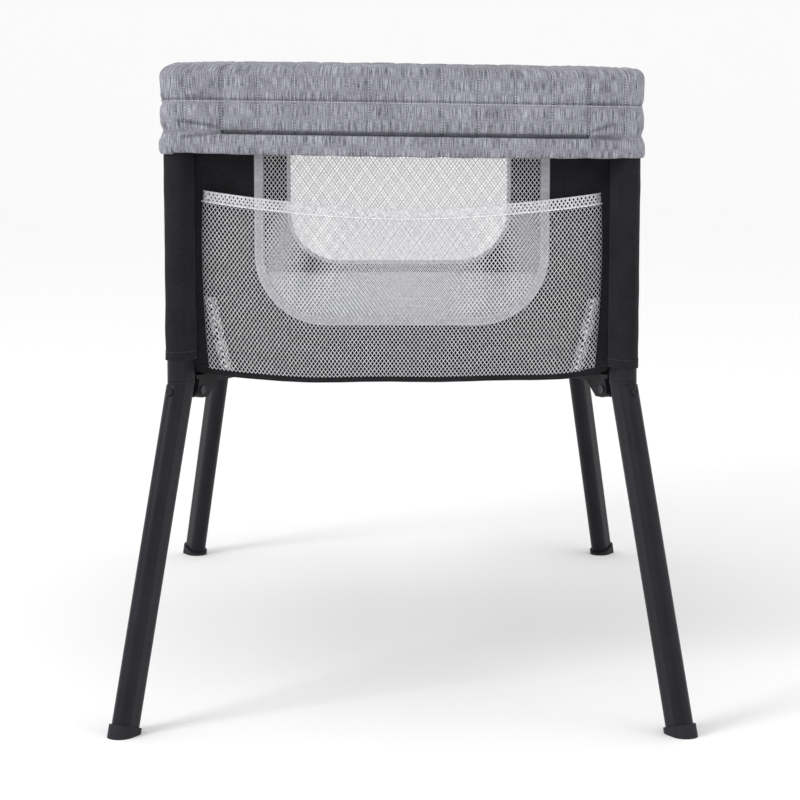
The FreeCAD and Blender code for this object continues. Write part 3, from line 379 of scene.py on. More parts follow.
def smooth_noise(count: int, seed: int, reach: int) -> np.ndarray:
    """Seeded random values along a closed line, smoothed over a number of points."""
    values = np.random.default_rng(seed).normal(size=count)
    kernel = np.hanning(2 * reach + 1)
    kernel /= kernel.sum()
    wrapped = np.concatenate([values[-reach:], values, values[:reach]])
    made = np.convolve(wrapped, kernel, mode="valid")
    return made / (made.std() + 1e-9)


def cloth_map(along: np.ndarray, around: np.ndarray) -> np.ndarray:
    """Cloth coordinates of a grid, from one line of places each way."""
    return np.stack(np.broadcast_arrays(along[:, None], around[None, :]), -1)


def read_points(mesh: bpy.types.Mesh) -> np.ndarray:
    """A mesh's points, as (n, 3)."""
    flat = np.zeros(len(mesh.vertices) * 3)
    mesh.vertices.foreach_get("co", flat)
    return flat.reshape(-1, 3)


def write_points(mesh: bpy.types.Mesh, points: np.ndarray) -> None:
    """Move a mesh's points and smooth its shading."""
    mesh.vertices.foreach_set("co", points.astype(np.float32).ravel())
    mesh.shade_smooth()
    mesh.update()


def evaluated_mesh(made: Object) -> bpy.types.Mesh:
    """A copy of an object's mesh after its modifiers."""
    return bpy.data.meshes.new_from_object(
        made.evaluated_get(bpy.context.evaluated_depsgraph_get()))


def make_object(name: str, mesh: bpy.types.Mesh, material: Material) -> Object:
    """Link a mesh as an object at the origin, with one material."""
    mesh.materials.clear()
    mesh.materials.append(material)
    made = bpy.data.objects.new(name, mesh)
    bpy.context.scene.collection.objects.link(made)
    return made


def grid_object(name: str, points: np.ndarray, cloth: np.ndarray, material: Material,
                wrap_u: bool = False, wrap_v: bool = False,
                keep: Optional[np.ndarray] = None) -> Object:
    """Make a smooth quad mesh from a grid of points.

    Args:
        name: the object's name.
        points: (nu, nv, 3) places, in metres.
        cloth: (nu + wrap_u, nv + wrap_v, 2) cloth coordinates, in metres.
        material: the finish.
        wrap_u: whether the last column joins the first.
        wrap_v: whether the last row joins the first.
        keep: (faces u, faces v) mask of the faces to keep.

    Returns:
        The object.
    """
    nu, nv = points.shape[:2]
    i, j = np.meshgrid(np.arange(nu if wrap_u else nu - 1), np.arange(nv if wrap_v else nv - 1),
                       indexing="ij")
    if keep is not None:
        i, j = i[keep], j[keep]
    i, j = i.ravel(), j.ravel()
    corner_i = np.stack([i, i + 1, i + 1, i], 1)
    corner_j = np.stack([j, j, j + 1, j + 1], 1)
    faces = (corner_i % nu) * nv + corner_j % nv
    mesh = bpy.data.meshes.new(name)
    mesh.from_pydata(points.reshape(-1, 3).tolist(), [], faces.tolist())
    layer = mesh.uv_layers.new(name=CLOTH_UV)
    layer.data.foreach_set("uv", cloth[corner_i, corner_j].astype(np.float32).ravel())
    mesh.shade_smooth()
    made = make_object(name, mesh, material)
    if keep is not None:
        drop_loose(made)
    return made


def drop_loose(made: Object) -> None:
    """Remove the vertices that no face uses."""
    work = bmesh.new()
    work.from_mesh(made.data)
    bmesh.ops.delete(work, geom=[v for v in work.verts if not v.link_faces], context="VERTS")
    work.to_mesh(made.data)
    work.free()


def polyline_mesh(name: str, lines: list[np.ndarray], closed: bool) -> bpy.types.Mesh:
    """A mesh of bare edges along several lines of points."""
    points: list[list[float]] = []
    edges: list[tuple[int, int]] = []
    for line in lines:
        start = len(points)
        points += line.tolist()
        edges += [(start + k, start + k + 1) for k in range(len(line) - 1)]
        if closed:
            edges.append((start + len(line) - 1, start))
    mesh = bpy.data.meshes.new(name)
    mesh.from_pydata(points, edges, [])
    return mesh


def thicken(made: Object, thick: float) -> None:
    """Give a sheet its thickness about its middle."""
    wall = made.modifiers.new("thickness", "SOLIDIFY")
    wall.thickness = thick
    wall.offset = 0.0


def attach(piece: Object, slot: str, *replaced: str, body: str = FRAME_BODY) -> Object:
    """Make a piece ride on its body and stand for its nodes."""
    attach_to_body(piece, body)
    if replaced:
        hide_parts(*replaced)
    return piece


# ---------------------------------------------------------------------------------------
# Geometry Nodes
# ---------------------------------------------------------------------------------------
def geometry_graph(name: str, inputs: dict[str, str]) -> tuple[Graph, Any]:
    """Start a geometry tree.

    Args:
        name: the tree's name.
        inputs: the socket type of each input after the geometry, by its name.

    Returns:
        The tree as a graph, and its inputs' sockets by name.
    """
    tree = bpy.data.node_groups.new(name, "GeometryNodeTree")
    geometry = {"in_out": "INPUT", "socket_type": "NodeSocketGeometry"}
    tree.interface.new_socket("Geometry", **geometry)
    for label, kind in inputs.items():
        tree.interface.new_socket(label, in_out="INPUT", socket_type=kind)
    tree.interface.new_socket("Geometry", **{**geometry, "in_out": "OUTPUT"})
    return Graph(tree), tree.nodes.new("NodeGroupInput").outputs


def net_tree() -> bpy.types.NodeTree:
    """A knitted net of diamond holes, trimmed to a window with two round lower corners."""
    labels = ("Pitch Across", "Pitch Up", "Hole Share", "Half Width", "Half Height",
              "Corner Radius")
    graph, given = geometry_graph("knitted net", {"Cells": "NodeSocketInt",
                                                  **dict.fromkeys(labels, "NodeSocketFloat")})
    sides = ("Vertices X", "Vertices Y", "Size X", "Size Y")
    grid = graph.add("GeometryNodeMeshGrid", dict.fromkeys(sides, given["Cells"]))
    extruded = graph.add("GeometryNodeExtrudeMesh", {
        "Mesh": grid.outputs["Mesh"], "Offset Scale": 0.0, "Individual": True}, mode="FACES")
    shrunk = graph.add("GeometryNodeScaleElements", {
        "Geometry": extruded.outputs["Mesh"], "Selection": extruded.outputs["Top"],
        "Scale": given["Hole Share"]}, domain="FACE")
    holed = graph.add("GeometryNodeDeleteGeometry", {
        "Geometry": shrunk.outputs["Geometry"], "Selection": extruded.outputs["Top"]},
        domain="FACE")
    x, y = graph.position()
    across = graph.maths("MULTIPLY", graph.maths("ADD", x, y),
                         graph.maths("MULTIPLY", given["Pitch Across"], 0.5))
    upward = graph.maths("MULTIPLY", graph.maths("SUBTRACT", x, y),
                         graph.maths("MULTIPLY", given["Pitch Up"], 0.5))
    place = graph.add("ShaderNodeCombineXYZ", {"X": across, "Y": upward})
    slanted = graph.add("GeometryNodeSetPosition", {
        "Geometry": holed.outputs["Geometry"], "Position": place.outputs["Vector"]})

    x, y = graph.position()
    side, radius = graph.maths("ABSOLUTE", x), given["Corner Radius"]
    past_x = graph.maths("SUBTRACT", side, graph.maths("SUBTRACT", given["Half Width"], radius))
    past_y = graph.maths("SUBTRACT", graph.maths("MULTIPLY", y, -1.0),
                         graph.maths("SUBTRACT", given["Half Height"], radius))
    reach = graph.add("ShaderNodeCombineXYZ", {"X": graph.maths("MAXIMUM", past_x, 0.0),
                                               "Y": graph.maths("MAXIMUM", past_y, 0.0)})
    length = graph.add("ShaderNodeVectorMath", {0: reach.outputs["Vector"]}, operation="LENGTH")
    outside = graph.any_above((side, given["Half Width"]),
                              (graph.maths("ABSOLUTE", y), given["Half Height"]),
                              (length.outputs["Value"], radius))
    trimmed = graph.add("GeometryNodeDeleteGeometry", {
        "Geometry": slanted.outputs["Geometry"], "Selection": outside}, domain="FACE")
    graph.add("NodeGroupOutput", {"Geometry": trimmed.outputs["Geometry"]})
    return graph.tree


def stitch_tree() -> bpy.types.NodeTree:
    """A row of stitches along each line of edges."""
    labels = ("Pitch", "Stitch Length", "Thread Radius")
    graph, given = geometry_graph("row of stitches", dict.fromkeys(labels, "NodeSocketFloat"))
    curve = graph.add("GeometryNodeMeshToCurve", {"Mesh": given["Geometry"]})
    spaced = graph.add("GeometryNodeResampleCurve", {
        "Curve": curve.outputs["Curve"], "Length": given["Pitch"]}, mode="LENGTH")
    thread = graph.add("GeometryNodeMeshCylinder", {
        "Vertices": 5, "Radius": given["Thread Radius"], "Depth": given["Stitch Length"]},
        fill_type="TRIANGLE_FAN")
    tangent = graph.add("GeometryNodeInputTangent").outputs["Tangent"]
    turn = graph.add("FunctionNodeAlignRotationToVector", {"Vector": tangent}, axis="Z")
    placed = graph.add("GeometryNodeInstanceOnPoints", {
        "Points": spaced.outputs["Curve"], "Instance": thread.outputs["Mesh"],
        "Rotation": turn.outputs["Rotation"]})
    real = graph.add("GeometryNodeRealizeInstances", {"Geometry": placed.outputs["Instances"]})
    graph.add("NodeGroupOutput", {"Geometry": real.outputs["Geometry"]})
    return graph.tree


@dataclass(frozen=True)
class Stitch:
    """A stitch's repeat, its length and its thread's radius, in mm."""

    pitch: float
    length: float
    radius: float


@dataclass(frozen=True)
class Net:
    """A flat piece of net, in metres.

    Its corner is the radius of its two lower corners, and its hole is a hole's share of its
    cell's side.
    """

    half_width: float
    half_height: float
    corner: float
    hole: float
    pitch_mm: tuple[float, float] = (4.4, 6.0)

    @property
    def flat(self) -> tuple[float, float]:
        """Its width and height."""
        return (2 * self.half_width, 2 * self.half_height)

    @property
    def yarn_area(self) -> float:
        """The area of its yarns."""
        return self.flat[0] * self.flat[1] * (1 - self.hole ** 2)


@dataclass
class NodeTools:
    """The two geometry trees, and how to run them."""

    net: bpy.types.NodeTree = field(default_factory=net_tree)
    stitches: bpy.types.NodeTree = field(default_factory=stitch_tree)

    def run(self, name: str, tree: bpy.types.NodeTree, base: bpy.types.Mesh,
            values: dict[str, Any], material: Material) -> Object:
        """Run a tree on a mesh and keep its result as a plain mesh.

        Args:
            name: the new object's name.
            tree: the geometry tree.
            base: the mesh that it starts from.
            values: the tree's inputs by name.
            material: the finish.

        Returns:
            The object, with no modifier left on it.
        """
        carrier = bpy.data.objects.new(name + "_carrier", base)
        bpy.context.scene.collection.objects.link(carrier)
        modifier = carrier.modifiers.new("nodes", "NODES")
        modifier.node_group = tree
        sockets = {item.name: item.identifier for item in tree.interface.items_tree
                   if item.in_out == "INPUT"}
        for label, value in values.items():
            modifier[sockets[label]] = value
        mesh = evaluated_mesh(carrier)
        bpy.data.objects.remove(carrier)
        mesh.name = name
        return make_object(name, mesh, material)

    def sew(self, name: str, lines: list[np.ndarray], material: Material, stitch: Stitch,
            slot: str, closed: bool = False) -> Object:
        """Sew stitches along several lines of points.

        Args:
            name: the object's name.
            lines: the lines, each (n, 3).
            material: the thread.
            stitch: the stitch's sizes.
            slot: a slot's name; not used.
            closed: whether each line runs back to its start.

        Returns:
            The stitches, riding on the frame.
        """
        values = {"Pitch": stitch.pitch * MM, "Stitch Length": stitch.length * MM,
                  "Thread Radius": stitch.radius * MM}
        base = polyline_mesh(name, lines, closed)
        return attach(self.run(name, self.stitches, base, values, material), slot)

    def knit(self, name: str, net: Net, material: Material,
             place: Callable[[np.ndarray, np.ndarray], np.ndarray]) -> Object:
        """Knit a flat net and lay it on a surface.

        Args:
            name: the object's name.
            net: the net's sizes.
            material: the finish.
            place: turns flat (across, up) arrays into points.

        Returns:
            The net.
        """
        across, up = net.pitch_mm[0] * MM, net.pitch_mm[1] * MM
        cells = 2 * math.ceil(net.half_width / across + net.half_height / up) + 3
        values = {"Cells": cells, "Pitch Across": across, "Pitch Up": up, "Hole Share": net.hole,
                  "Half Width": net.half_width, "Half Height": net.half_height,
                  "Corner Radius": net.corner}
        made = self.run(name, self.net, bpy.data.meshes.new(name), values, material)
        flat = read_points(made.data)
        write_points(made.data, place(flat[:, 0], flat[:, 1]))
        return made


TAPE_STITCH = Stitch(4.2, 2.9, 0.3)
HEM_STITCH = Stitch(4.0, 2.8, 0.3)
POCKET_STITCH = Stitch(3.6, 2.9, 0.55)
QUILT_STITCH = Stitch(3.0, 1.6, 0.37)


# ---------------------------------------------------------------------------------------
# The tub's walls
# ---------------------------------------------------------------------------------------
# The tape's section: a share of its width beside its middle line, and mm outward.
TAPE_SECTION = ((-0.5, 0.0), (-0.47, 0.95), (-0.3, 1.25), (0.3, 1.25), (0.47, 0.95),
                (0.5, 0.0), (0.4, -0.4), (0.1, -0.5), (-0.3, -0.9), (-0.47, -0.8))
TAPE_ROWS = (-0.34, 0.34)
# The rolled hem's section: a share of its height, and mm outward.
HEM_SECTION = ((0.0, 2.3), (0.35, 2.6), (0.7, 2.4), (1.0, 1.4), (1.0, -0.8), (0.5, -1.6),
               (0.0, -1.2), (-0.12, 0.6))


class Side(Enum):
    """A wall of the tub: its name, the way along it seen from outside, and its outward way."""

    FRONT = ("front", (1.0, 0.0, 0.0), (0.0, -1.0, 0.0))
    BACK = ("back", (-1.0, 0.0, 0.0), (0.0, 1.0, 0.0))
    RIGHT = ("right", (0.0, 1.0, 0.0), (1.0, 0.0, 0.0))
    LEFT = ("left", (0.0, -1.0, 0.0), (-1.0, 0.0, 0.0))


@dataclass
class TubWall:
    """One fabric wall: panel, net window, binding tape, hem and their stitches."""

    side: Side
    finishes: Finishes
    tools: NodeTools
    step: float = 3.0 * MM
    outline_step: float = 4.0 * MM
    window_radius: float = 68.0 * MM
    window_top_radius: float = 6.0 * MM
    tape_wide: float = 10.5 * MM
    net_hole: float = 0.81
    net_inset: float = 1.3 * MM
    cloth_thick: float = 1.2 * MM
    hem_tall: float = 9.0 * MM
    hem_sag: float = 8.5 * MM
    hem_rise: float = 3.5 * MM
    hem_wave: float = 1.1 * MM
    droop_clear: float = 15.0 * MM
    fold: float = 0.9 * MM
    belly: float = 2.0 * MM
    draw_in: float = 5.0 * MM

    def __post_init__(self) -> None:
        """Read the wall's place from the frame."""
        self.name, along, outward = self.side.value
        self.along, self.outward = np.array(along), np.array(outward)
        self.foot, self.head, self.half, face = self.measure(f"{self.name}_panel")
        self.face = face - self.cloth_thick
        low, high, half, _ = self.measure(f"{self.name}_window_binding")
        self.window_half = half - self.tape_wide
        self.window_foot, self.window_head = low + self.tape_wide, high - self.tape_wide

    def measure(self, node: str) -> tuple[float, float, float, float]:
        """A node's lowest and highest points, its reach along the wall and outward."""
        low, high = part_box(node)
        corners = np.abs(np.array([low, high]) @ np.stack([self.along, self.outward], 1))
        reach = corners.max(axis=0)
        return low.z, high.z, float(reach[0]), float(reach[1])

    def hem_drop(self, across: np.ndarray) -> np.ndarray:
        """How far the lower edge hangs below the corners' height, mid-way most."""
        share = np.clip(np.abs(across) / self.half, 0, 1)
        wave = self.hem_wave * np.sin(across / (31 * MM) + 1.3) * np.sin(across / (83 * MM))
        return -self.hem_rise * share ** 6 + self.hem_sag * (1 - share ** 4) + wave

    def bulge(self, across: np.ndarray, up: np.ndarray) -> np.ndarray:
        """Soft waves of the hanging cloth, flat at the tape and the corners."""
        height = np.clip((up - self.foot) / (self.head - self.foot), 0, 1)
        beside = np.clip((np.abs(across) - self.window_half) / (40 * MM), 0, 1)
        folds = np.sin(up / (14 * MM) + 2.2 * np.sin(across / (37 * MM))) * beside * self.fold
        belly = self.belly * np.cos(across / self.half * math.pi / 2) * np.sin(height * math.pi)
        return folds * np.sin(height * math.pi) - belly

    def place(self, across: np.ndarray, up: np.ndarray, lift: float | np.ndarray) -> np.ndarray:
        """Points on the wall.

        Args:
            across: distance along the wall from its middle.
            up: height.
            lift: distance outward of the cloth's middle.

        Returns:
            (..., 3) points.
        """
        out = self.face + self.bulge(across, up) + lift
        # The lowest corners are drawn in, away from the posts.
        low = np.clip(1 - (up - self.foot) / (18 * MM), 0, 1)
        drawn = self.draw_in * low * np.clip(np.abs(across) / self.half, 0, 1) ** 8
        inner = across - np.sign(across) * drawn
        flat = inner[..., None] * self.along + out[..., None] * self.outward
        flat[..., 2] = up
        return flat

    def in_window(self, across: np.ndarray, up: np.ndarray, grow: float) -> np.ndarray:
        """Whether a place is inside the window's opening, grown by a margin."""
        half, foot = self.window_half + grow, self.window_foot - grow
        head, radius = self.window_head + grow, self.window_radius + grow
        past_x = np.maximum(np.abs(across) - (half - radius), 0)
        past_z = np.maximum((foot + radius) - up, 0)
        return (np.abs(across) < half) & (up < head) & (np.hypot(past_x, past_z) < radius)

    def outline(self, offset: float) -> tuple[np.ndarray, np.ndarray]:
        """The window's outline, offset outward in the wall's plane.

        Args:
            offset: how far outside the opening.

        Returns:
            (n, 2) points and (n, 2) outward ways, closed.
        """
        radius, top = self.window_radius + offset, self.window_top_radius
        x, low, high = (self.window_half + offset, self.window_foot - offset,
                        self.window_head + offset)
        rough = []
        for cx, cz, r, start in ((x - radius, low + radius, radius, -90),
                                 (x - top, high - top, top, 0), (-(x - top), high - top, top, 90),
                                 (-(x - radius), low + radius, radius, 180)):
            parts = max(3, int(r * math.pi / 2 / self.outline_step))
            rough += [(cx + r * way[0], cz + r * way[1], *way) for way in arc(start, 90, parts)]
        corners = np.array(rough)
        dense = []
        for a, b in zip(corners, np.roll(corners, -1, axis=0)):
            parts = max(1, int(np.linalg.norm(b[:2] - a[:2]) / self.outline_step))
            dense += [a + (b - a) * (part / parts) for part in range(parts)]
        made = np.array(dense)
        return made[:, :2], made[:, 2:]

    def build_panel(self) -> None:
        """The black cloth panel with its window cut out."""
        tall = self.head - self.foot
        columns = np.linspace(-self.half, self.half, int(2 * self.half / self.step) + 1)
        rows = np.linspace(0, 1, int(tall / self.step) + 1)
        across, share = np.meshgrid(columns, rows, indexing="ij")
        straight = self.foot + share * tall
        # The droop fades out below the window.
        free = self.window_foot - self.droop_clear
        fade = np.clip((free - straight) / (free - self.foot), 0, 1)
        up = straight - self.hem_drop(across) * fade ** 1.5
        mid_x = (across[1:, 1:] + across[:-1, :-1]) / 2
        mid_z = (up[1:, 1:] + up[:-1, :-1]) / 2
        keep = ~self.in_window(mid_x, mid_z, self.tape_wide * 0.25)
        panel = grid_object(f"{self.name}_cloth_panel", self.place(across, up, 0.0),
                            np.stack([across, up], -1), self.finishes.black_cloth, keep=keep)
        thicken(panel, self.cloth_thick)
        attach(panel, "black_fabric", f"{self.name}_panel")

    def build_net(self) -> None:
        """The knitted window net, inside the panel."""
        middle = (self.window_foot + self.window_head) / 2
        under = self.tape_wide * 0.5
        sizes = Net(self.window_half + under, (self.window_head - self.window_foot) / 2 + under,
                    self.window_radius + under, self.net_hole)
        net = self.tools.knit(
            f"{self.name}_window_net", sizes, self.finishes.net,
            lambda across, up: self.place(across, up + middle, -self.net_inset))
        attach(net, "white_mesh", f"{self.name}_window_mesh")

    def build_tape(self) -> None:
        """The binding tape folded over the window's edge, and its two rows of stitches."""
        line, ways = self.outline(self.tape_wide / 2)

        def along(beside: float, lift_mm: float) -> np.ndarray:
            """The line a share of the tape's width beside its middle, lifted off the wall."""
            return self.place(*(line + ways * beside * self.tape_wide).T, lift_mm * MM)

        points = np.stack([along(*spot) for spot in TAPE_SECTION], 1)
        around = np.linspace(0, 2 * self.tape_wide, len(TAPE_SECTION) + 1)
        tape = grid_object(f"{self.name}_binding_tape", points,
                           cloth_map(run_length(closed_line(line)), around), self.finishes.tape,
                           wrap_u=True, wrap_v=True)
        attach(tape, "binding_tape", f"{self.name}_window_binding")
        self.tools.sew(f"{self.name}_binding_stitches", [along(row, 1.35) for row in TAPE_ROWS],
                       self.finishes.white_thread, TAPE_STITCH, "binding_tape", closed=True)

    def build_hem(self) -> None:
        """The rolled hem along the wall's lower edge."""
        reach = self.half - 2 * MM
        across = np.linspace(-reach, reach, int(2 * self.half / self.step))
        lower = self.foot - self.hem_drop(across)
        points = np.stack([
            self.place(across, lower + share * self.hem_tall,
                       lift * MM + 0.35 * MM * np.sin(across / (5.5 * MM) + k))
            for k, (share, lift) in enumerate(HEM_SECTION)], 1)
        around = np.linspace(0, 20 * MM, len(HEM_SECTION) + 1)
        attach(grid_object(f"{self.name}_rolled_hem", points, cloth_map(across, around),
                           self.finishes.black_cloth, wrap_v=True), "black_fabric")
        row = self.place(across, lower + 0.8 * self.hem_tall, 2.8 * MM)
        self.tools.sew(f"{self.name}_hem_stitches", [row], self.finishes.black_thread,
                       HEM_STITCH, "black_fabric")

    def build(self) -> None:
        """Build every piece of the wall."""
        self.build_panel()
        self.build_net()
        self.build_tape()
        self.build_hem()
        LOG.info("%s wall: panel, net, tape and hem", self.name)


@dataclass
class TubFloor:
    """The cloth floor that closes the tub's underside."""

    finishes: Finishes
    walls: dict[Side, TubWall]
    step: float = 9.0 * MM
    thick: float = 1.4 * MM

    def build(self) -> None:
        """Build the floor, hanging a little lower mid-way along each wall."""
        low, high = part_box("floor_panel")
        size = (high.x - low.x, high.y - low.y)
        x, y = np.meshgrid(np.linspace(low.x, high.x, int(size[0] / self.step)),
                           np.linspace(low.y, high.y, int(size[1] / self.step)), indexing="ij")
        near_end = groove(high.y - np.abs(y), 55 * MM)
        near_side = groove(high.x - np.abs(x), 45 * MM)
        drop = np.maximum(self.walls[Side.FRONT].hem_drop(x) * near_end,
                          self.walls[Side.RIGHT].hem_drop(y) * near_side)
        ripple = 0.4 * MM * np.sin(x / (23 * MM)) * np.sin(y / (31 * MM))
        z = (low.z + high.z) / 2 - np.maximum(drop - 1.5 * MM, 0) + ripple
        floor = grid_object("tub_cloth_floor", np.stack([x, y, z], -1), np.stack([x, y], -1),
                            self.finishes.black_cloth)
        thicken(floor, self.thick)
        attach(floor, "black_fabric", "floor_panel")
        LOG.info("tub floor")


@dataclass
class CornerSleeve:
    """The cloth sleeve round one post, with a doubled lower hem."""

    corner: str
    finishes: Finishes
    tools: NodeTools
    hem_shift: float
    post_deep: float = 35.0 * MM
    post_wide: float = 23.0 * MM
    gap: float = 0.75 * MM
    thick: float = 0.9 * MM
    step: float = 3.0 * MM
    hem_tall: float = 11.0 * MM

    def section(self) -> tuple[np.ndarray, np.ndarray]:
        """The sleeve's flat-oval section in its corner's own axes, and the outward ways."""
        radius = self.post_wide / 2 + self.gap
        reach = (self.post_deep - self.post_wide) / 2
        points, ways = [], []
        for centre, start in ((reach, -90), (-reach, 90)):
            turn = arc(start, 180, 16)
            ways += turn + turn[-1:]
            points += [(centre + radius * way[0], radius * way[1]) for way in turn]
            points.append((0.0, points[-1][1]))
        return np.array(points), np.array(ways)

    def build(self) -> None:
        """Build the sleeve and its stitches."""
        low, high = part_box(f"post_tube_{self.corner}")
        centre = np.array([(low.x + high.x) / 2, (low.y + high.y) / 2])
        outward = centre / np.linalg.norm(centre)
        axes = np.array([outward, [-outward[1], outward[0]]])
        low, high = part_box(f"corner_sleeve_{self.corner}")
        foot = low.z + self.hem_shift
        section, ways = self.section()
        heights = np.linspace(foot, high.z, int((high.z - foot) / self.step))
        count, seed = len(section), CORNERS.index(self.corner)
        wave = (smooth_noise(count, 40 + seed, 3)[:, None]
                * smooth_noise(len(heights), 60 + seed, 9)[None, :])
        hem = np.where(heights < foot + self.hem_tall, 0.4 * MM, 0.0)[None, :]
        grow = 0.25 * MM * np.abs(wave) + hem
        points = np.zeros((count, len(heights), 3))
        local = section[:, None, :] + ways[:, None, :] * grow[..., None]
        points[..., :2] = centre + local @ axes
        points[..., 2] = heights
        sleeve = grid_object(f"post_sleeve_{self.corner}", points,
                             cloth_map(np.linspace(0, 95 * MM, count + 1), heights),
                             self.finishes.black_cloth, wrap_u=True)
        thicken(sleeve, self.thick)
        attach(sleeve, "black_fabric", f"corner_sleeve_{self.corner}")
        ring = np.full((count, 3), foot + self.hem_tall - 2 * MM)
        ring[:, :2] = centre + (section + ways * 0.95 * MM) @ axes
        self.tools.sew(f"sleeve_stitches_{self.corner}", [ring], self.finishes.black_thread,
                       HEM_STITCH, "black_fabric", closed=True)


@dataclass
class StoragePocket:
    """The net pocket on the front wall, its hem hanging lower mid-way."""

    wall: TubWall
    finishes: Finishes
    tools: NodeTools
    hole: float = 0.82
    hem_hole: float = 0.6
    hem_tall: float = 11.5 * MM
    gather_half: float = 7.0 * MM
    gather_share: float = 0.42
    gather_slant: float = 14.0 * MM
    sag: float = 18.0 * MM
    lean: float = 0.0065

    def __post_init__(self) -> None:
        """Read the pocket's place from the frame."""
        low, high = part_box("storage_pocket")
        self.half = high.x - 2 * MM
        self.depth = -low.y - self.wall.face
        self.foot, self.head = low.z + 1.5 * MM, high.z

    def top(self, across: np.ndarray) -> np.ndarray:
        """Height of the pocket's upper edge."""
        share = np.abs(across) / self.half
        return self.head - self.sag * (1 - share ** 1.7) - self.lean * across

    def lower(self, across: np.ndarray) -> np.ndarray:
        """Height of the pocket's lower edge, which follows the wall's hem."""
        return self.wall.foot - self.wall.hem_drop(across) + 5.5 * MM

    def place(self, across: np.ndarray, share: float | np.ndarray,
              lift: float = 0.0) -> np.ndarray:
        """Points on the pocket.

        Args:
            across: distance from the middle.
            share: 0 at the lower edge, 1 at the hem.
            lift: distance outward of the net.

        Returns:
            (..., 3) points.
        """
        side = np.clip(np.abs(across) / self.half, 0, 1)
        belly = np.sqrt(np.clip(1 - side ** 7, 0, 1))
        inside = np.clip(share, 0, 1)
        rise = 1 - np.exp(-inside * 7.0)
        ripple = 0.7 * MM * np.sin(across / (19 * MM) + 3 * share) * side ** 3
        swell = (self.depth - 4.5 * MM) * belly * rise * (0.82 + 0.18 * share)
        points = np.zeros(across.shape + (3,))
        points[..., 0] = across * (1 - 0.034 * np.clip(1 - share, 0, 1) ** 2.5
                                   - 0.014 * inside ** 6)
        points[..., 1] = -(self.wall.face + 3.0 * MM + swell + ripple + lift)
        low = self.lower(across)
        points[..., 2] = low + share * (self.top(across) - low)
        return points

    def knit_band(self, name: str, start: float, stop: float, lift: float, phase: float,
                  half: float, hole: float, centre: float = 0.0, slant: float = 0.0) -> Object:
        """Knit a band of net between two heights of the pocket.

        Args:
            name: the object's name.
            start: lower edge, as a share of the pocket's height.
            stop: upper edge.
            lift: distance outward of the pocket's surface.
            phase: how far the holes are shifted across, as a share of a hole's repeat.
            half: half the band's width.
            hole: a hole's share of its cell's side.
            centre: the band's middle at its upper edge.
            slant: how far its lower edge leans from there.

        Returns:
            The net band.
        """
        tall = self.head - self.sag / 2 - self.foot
        sizes = Net(half, tall * (stop - start) / 2, 0.5 * MM, hole)
        shift = phase * sizes.pitch_mm[0] * MM

        def lay(across: np.ndarray, up: np.ndarray) -> np.ndarray:
            """The flat band laid on the pocket."""
            lean = slant * (0.5 - up / sizes.flat[1])
            moved = across + centre + lean + shift * (np.abs(across) < half - 5 * MM)
            spot = np.clip(moved, -self.half, self.half)
            return self.place(spot, (start + stop) / 2 + up / tall, lift)

        band = attach(self.tools.knit(name, sizes, self.finishes.net, lay), "white_mesh")
        return band

    def build(self) -> None:
        """Build the pocket, its doubled hem, its gathers, its upper fold and stitches."""
        pocket = self.knit_band("storage_pocket_net", 0.0, 1.0, 0.0, 0.0, self.half, self.hole)
        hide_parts("storage_pocket")
        hem = 1.0 - self.hem_tall / (self.head - self.foot)
        self.knit_band("pocket_hem_net", hem, 1.0, 0.9 * MM, 0.33, self.half, self.hem_hole)
        for name, sign in (("left", -1), ("right", 1)):
            self.knit_band(f"pocket_gather_{name}", 0.0, self.gather_share, 1.2 * MM, 0.45,
                           self.gather_half, self.hole, sign * (self.half - 7.5 * MM),
                           -sign * self.gather_slant)
        across = np.linspace(-self.half, self.half, 150)
        self.tools.sew("pocket_hem_stitches", [self.place(across, hem, 1.5 * MM)],
                       self.finishes.bright_thread, POCKET_STITCH, "white_mesh")
        self.build_edge(across)
        LOG.info("storage pocket")

    def build_edge(self, across: np.ndarray) -> None:
        """The fold along the pocket's upper edge."""
        lines = []
        for beside, up in arc(0, 360, 8)[:-1]:
            line = self.place(across, 1.0, 0.45 * MM + 0.75 * MM * beside)
            line[:, 2] += 0.55 * MM * up
            lines.append(line)
        around = np.linspace(0, 4 * MM, len(lines) + 1)
        attach(grid_object("pocket_upper_fold", np.stack(lines, 1), cloth_map(across, around),
                           self.finishes.net, wrap_v=True), "white_mesh")


# ---------------------------------------------------------------------------------------
# Quilted rail cover
# ---------------------------------------------------------------------------------------
# The cover's section in mm, inward and up: its outer hem and wall, and its inner wall and hem.
COVER_OUTER = [(3.0, 619.0), (2.4, 616.6), (1.2, 615.4), (0.3, 616.8), (-0.4, 620.0),
               (-0.6, 634.0), (0.2, 639.0), (1.0, 641.0), (0.8, 644.0), (0.4, 650.0),
               (0.4, 704.0)]
COVER_INNER = [(35.5, 690.0), (35.5, 620.0), (35.0, 616.6), (33.8, 615.5), (32.8, 617.0),
               (32.4, 620.0)]
COVER_REACH = 35.5
COVER_EDGE = 704.0
# Distances beside a quilt line where the cover has a line of points, in mm.
BESIDE_LINE = (-14.0, -9.0, -5.5, -3.0, -1.4, 0.0, 1.4, 3.0, 5.5, 9.0, 14.0, 19.6)
# Wrinkles, in mm: the crease's end that they start from, their height there, the place and
# height where they stop, and their depth.
WRINKLES = [(0, 642.5, -256.0, 654.0, 2.4), (0, 641.0, -256.0, 632.0, 2.0),
            (0, 642.0, -240.0, 645.0, -1.6), (0, 675.0, -250.0, 679.5, 0.9),
            (1, 642.5, 226.0, 653.5, 2.0), (1, 641.0, 258.0, 637.5, 2.4),
            (1, 642.0, 250.0, 646.0, -1.6), (1, 675.0, 258.0, 678.0, 0.9),
            (1, 638.0, 240.0, 626.0, 0.8)]


